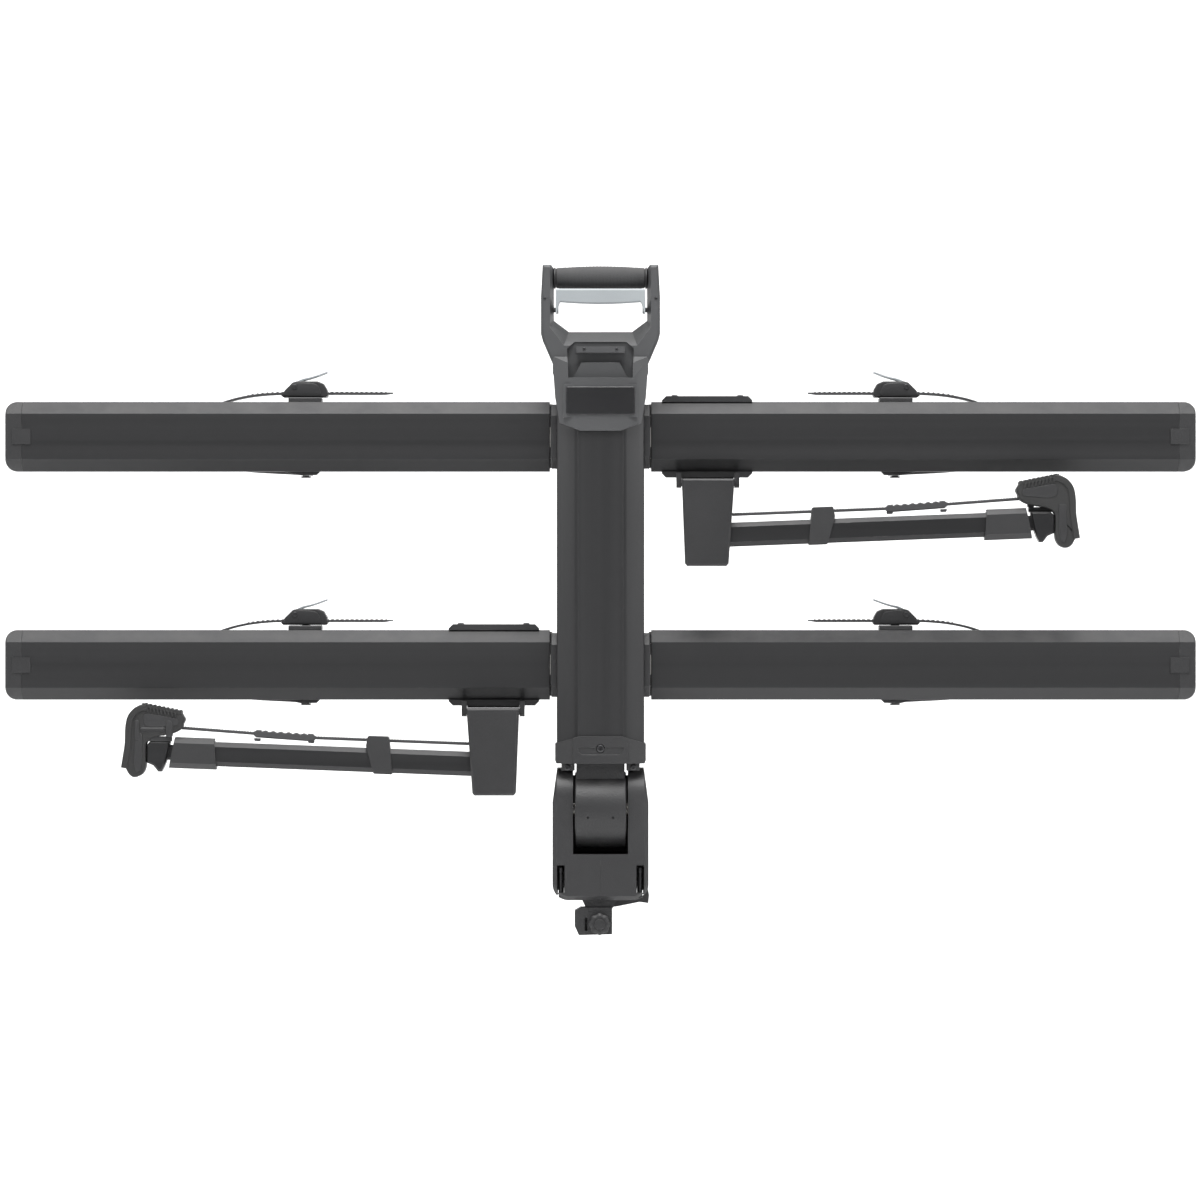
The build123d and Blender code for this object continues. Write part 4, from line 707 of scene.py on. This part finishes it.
# %% The screw knob
def screw_knob():
    """A disc whose radius waves in and out eight times, with a domed face, on its long screw."""
    a = np.linspace(0, 2 * np.pi, 128, endpoint=False)
    y = np.array([-42.0, -42.0, -41.2, -39.5, -32.6, -31.2, -31.0])
    r = np.array([5.0, 9.0, 11.6, 13.1, 13.1, 12.2, 5.0])
    lobes = 1 - 0.09 * (1 - np.cos(8 * a)) / 2 * (r[:, None] > 8)
    ring = r[:, None] * lobes
    disc = np.stack([-1 + ring * np.cos(a), np.broadcast_to(PIVOT_Y + y[:, None], ring.shape),
                     -69.5 + ring * np.sin(a)], -1)
    b = a[::4]
    s = np.linspace(-31, 159.6, 760)
    thread = 3.95 - 0.35 * (np.sin(s * 2 * np.pi / 2.0) < 0) * (s > 20)
    stem = np.stack([-1 + thread[:, None] * np.cos(b), np.broadcast_to(PIVOT_Y + s[:, None], (760, 32)),
                     -69.5 + thread[:, None] * np.sin(b)], -1)
    hub_y = np.array([-44.6, -44.6, -44.2, -42.0, -40.0])
    hub_r = np.array([1.0, 5.0, 6.0, 6.4, 6.4])[:, None]
    hub = np.stack([-1 + hub_r * np.cos(b), np.broadcast_to(PIVOT_Y + hub_y[:, None], (5, 32)),
                    -69.5 + hub_r * np.sin(b)], -1)
    return joined(skin(disc[::-1]), skin(hub), skin(stem))


build("screw_knob", screw_knob(), "screw", "knob_plastic", ["tightening_knob"])


# %% Small screw heads
def screw_head(place, toward, radius):
    """A low dome with a round socket, turned about its own axis and stood on a face."""
    profile = np.array([(-0.6, 0.96), (0.0, 1.0), (0.25, 0.9), (0.4, 0.62), (0.4, 0.45), (0.05, 0.4),
                        (0.05, 0.02)])
    a = np.linspace(0, 2 * np.pi, 28, endpoint=False)
    away = np.asarray(toward, float)
    side = np.array([1.0, 0, 0]) if abs(away[0]) < 0.5 else np.array([0, 1.0, 0])
    other = np.cross(away, side)
    spread = radius * (np.cos(a)[:, None] * side + np.sin(a)[:, None] * other)
    rings = (np.asarray(place, float) + radius * profile[:, :1, None] * away
             + profile[:, 1:, None] * spread[None])
    return skin(rings)


front = (0, -1, 0)
rack_heads = [screw_head((s * 66.7, PIVOT_Y - 33.1, 681), front, 2.0) for s in (-1, 1)]
rack_heads += [screw_head((0, PIVOT_Y - 42.6, 141), front, 4.9)]
rack_heads += [screw_head((s * 39.6, PIVOT_Y - 32.1, 118.4), front, 4.0) for s in (-1, 1)]
rack_heads += [screw_head((x, PIVOT_Y - 40.1, 620), front, 1.9) for x in (-19.5, 19.5)]
build("head_screws", joined(*rack_heads), "rack", "bolt_steel")
for level, s in (("upper", 1), ("lower", -1)):
    tops = [screw_head((s * x, PIVOT_Y + 15, LEVELS[level] + 49), (0, 0, 1), 4.2) for x in (89.4, 168.6)]
    tray = f"{level}_{'right' if s > 0 else 'left'}_wheel_tray"
    build(f"{level}_saddle_screws", joined(*tops), tray, "bolt_steel")
print("screws placed")

# %% [markdown]
# ## Studio
# A pale sheet that curves up behind the object, a broad soft light above and in front, and two
# weaker ones at the sides keep black pieces readable: what shows on black is mostly the lights'
# reflection. The sheet lets the camera see through its back, so it never hides the far side.

# %% Backdrop
def backdrop():
    """A floor, a quarter circle of 1.2 m and a wall, as one sheet 30 m wide."""
    bend = np.linspace(0, np.pi / 2, 24)
    y = np.concatenate([[-12.0], 2.4 + 1.2 * np.sin(bend), [3.6]])
    z = np.concatenate([[0.0], 1.2 - 1.2 * np.cos(bend), [9.0]]) - 0.46
    x = np.array([-15.0, 15.0])
    grid = np.stack([np.broadcast_to(x[None, :], (26, 2)), np.broadcast_to(y[:, None], (26, 2)),
                     np.broadcast_to(z[:, None], (26, 2))], -1)
    i = np.arange(25)[:, None] * 2
    faces = np.concatenate([i, i + 1, i + 3, i + 2], 1)
    mesh = bpy.data.meshes.new("backdrop")
    mesh.from_pydata(grid.reshape(-1, 3).tolist(), [], faces.tolist())
    mesh.shade_smooth()
    sheet = bpy.data.objects.new("backdrop", mesh)
    bpy.context.collection.objects.link(sheet)
    return sheet


sheet = backdrop()
paper = bpy.data.materials.new("pale paper")
paper.use_nodes = True
tree = paper.node_tree
shader = tree.nodes["Principled BSDF"]
shader.inputs["Base Color"].default_value = (0.86, 0.86, 0.86, 1)
shader.inputs["Emission Color"].default_value = (1, 1, 1, 1)
shader.inputs["Emission Strength"].default_value = 0.2
shader.inputs["Roughness"].default_value = 0.9
behind = node(tree, "ShaderNodeNewGeometry")
clear = node(tree, "ShaderNodeBsdfTransparent")
seen = node(tree, "ShaderNodeMixShader", [(0, behind.outputs["Backfacing"])])
tree.links.new(shader.outputs[0], seen.inputs[1])
tree.links.new(clear.outputs[0], seen.inputs[2])
tree.links.new(seen.outputs[0], tree.nodes["Material Output"].inputs["Surface"])
sheet.data.materials.append(paper)


# %% Lights and camera
def soft_light(name, place, target, size, power):
    """A square area light that faces its target."""
    data = bpy.data.lights.new(name, "AREA")
    data.size, data.energy = size, power
    lamp = bpy.data.objects.new(name, data)
    bpy.context.collection.objects.link(lamp)
    lamp.location = place
    way = np.subtract(target, place)
    lamp.rotation_euler = mathutils.Vector(way).to_track_quat("-Z", "Y").to_euler()
    return lamp


soft_light("top softbox", (0.0, -1.5, 3.3), (0, -0.28, 0.3), 2.4, 190)
soft_light("front softbox", (-1.6, -5.2, 2.4), (0, -0.3, 0.3), 1.8, 16)
soft_light("left strip", (-3.4, -2.2, 1.2), (0, -0.3, 0.3), 0.7, 30)
soft_light("right strip", (3.4, -2.2, 1.2), (0, -0.3, 0.3), 0.7, 42)
soft_light("backdrop wash", (0.0, 1.3, 3.4), (0, 3.6, 0.4), 3.2, 110)
world = bpy.data.worlds.new("pale room")
world.use_nodes = True
world.node_tree.nodes["Background"].inputs["Color"].default_value = (0.96, 0.97, 1.0, 1)
world.node_tree.nodes["Background"].inputs["Strength"].default_value = 0.2
bpy.context.scene.world = world
bpy.context.scene.view_settings.view_transform = "Standard"

lens = bpy.data.cameras.new("camera")
lens.lens, lens.sensor_width = 200, 36
lens.clip_end = 60
camera = bpy.data.objects.new("camera", lens)
bpy.context.collection.objects.link(camera)
camera.location = (-0.0006, -8.3, 0.3192)
camera.rotation_euler = (radians(90), 0, 0)
bpy.context.scene.camera = camera
print("studio ready")
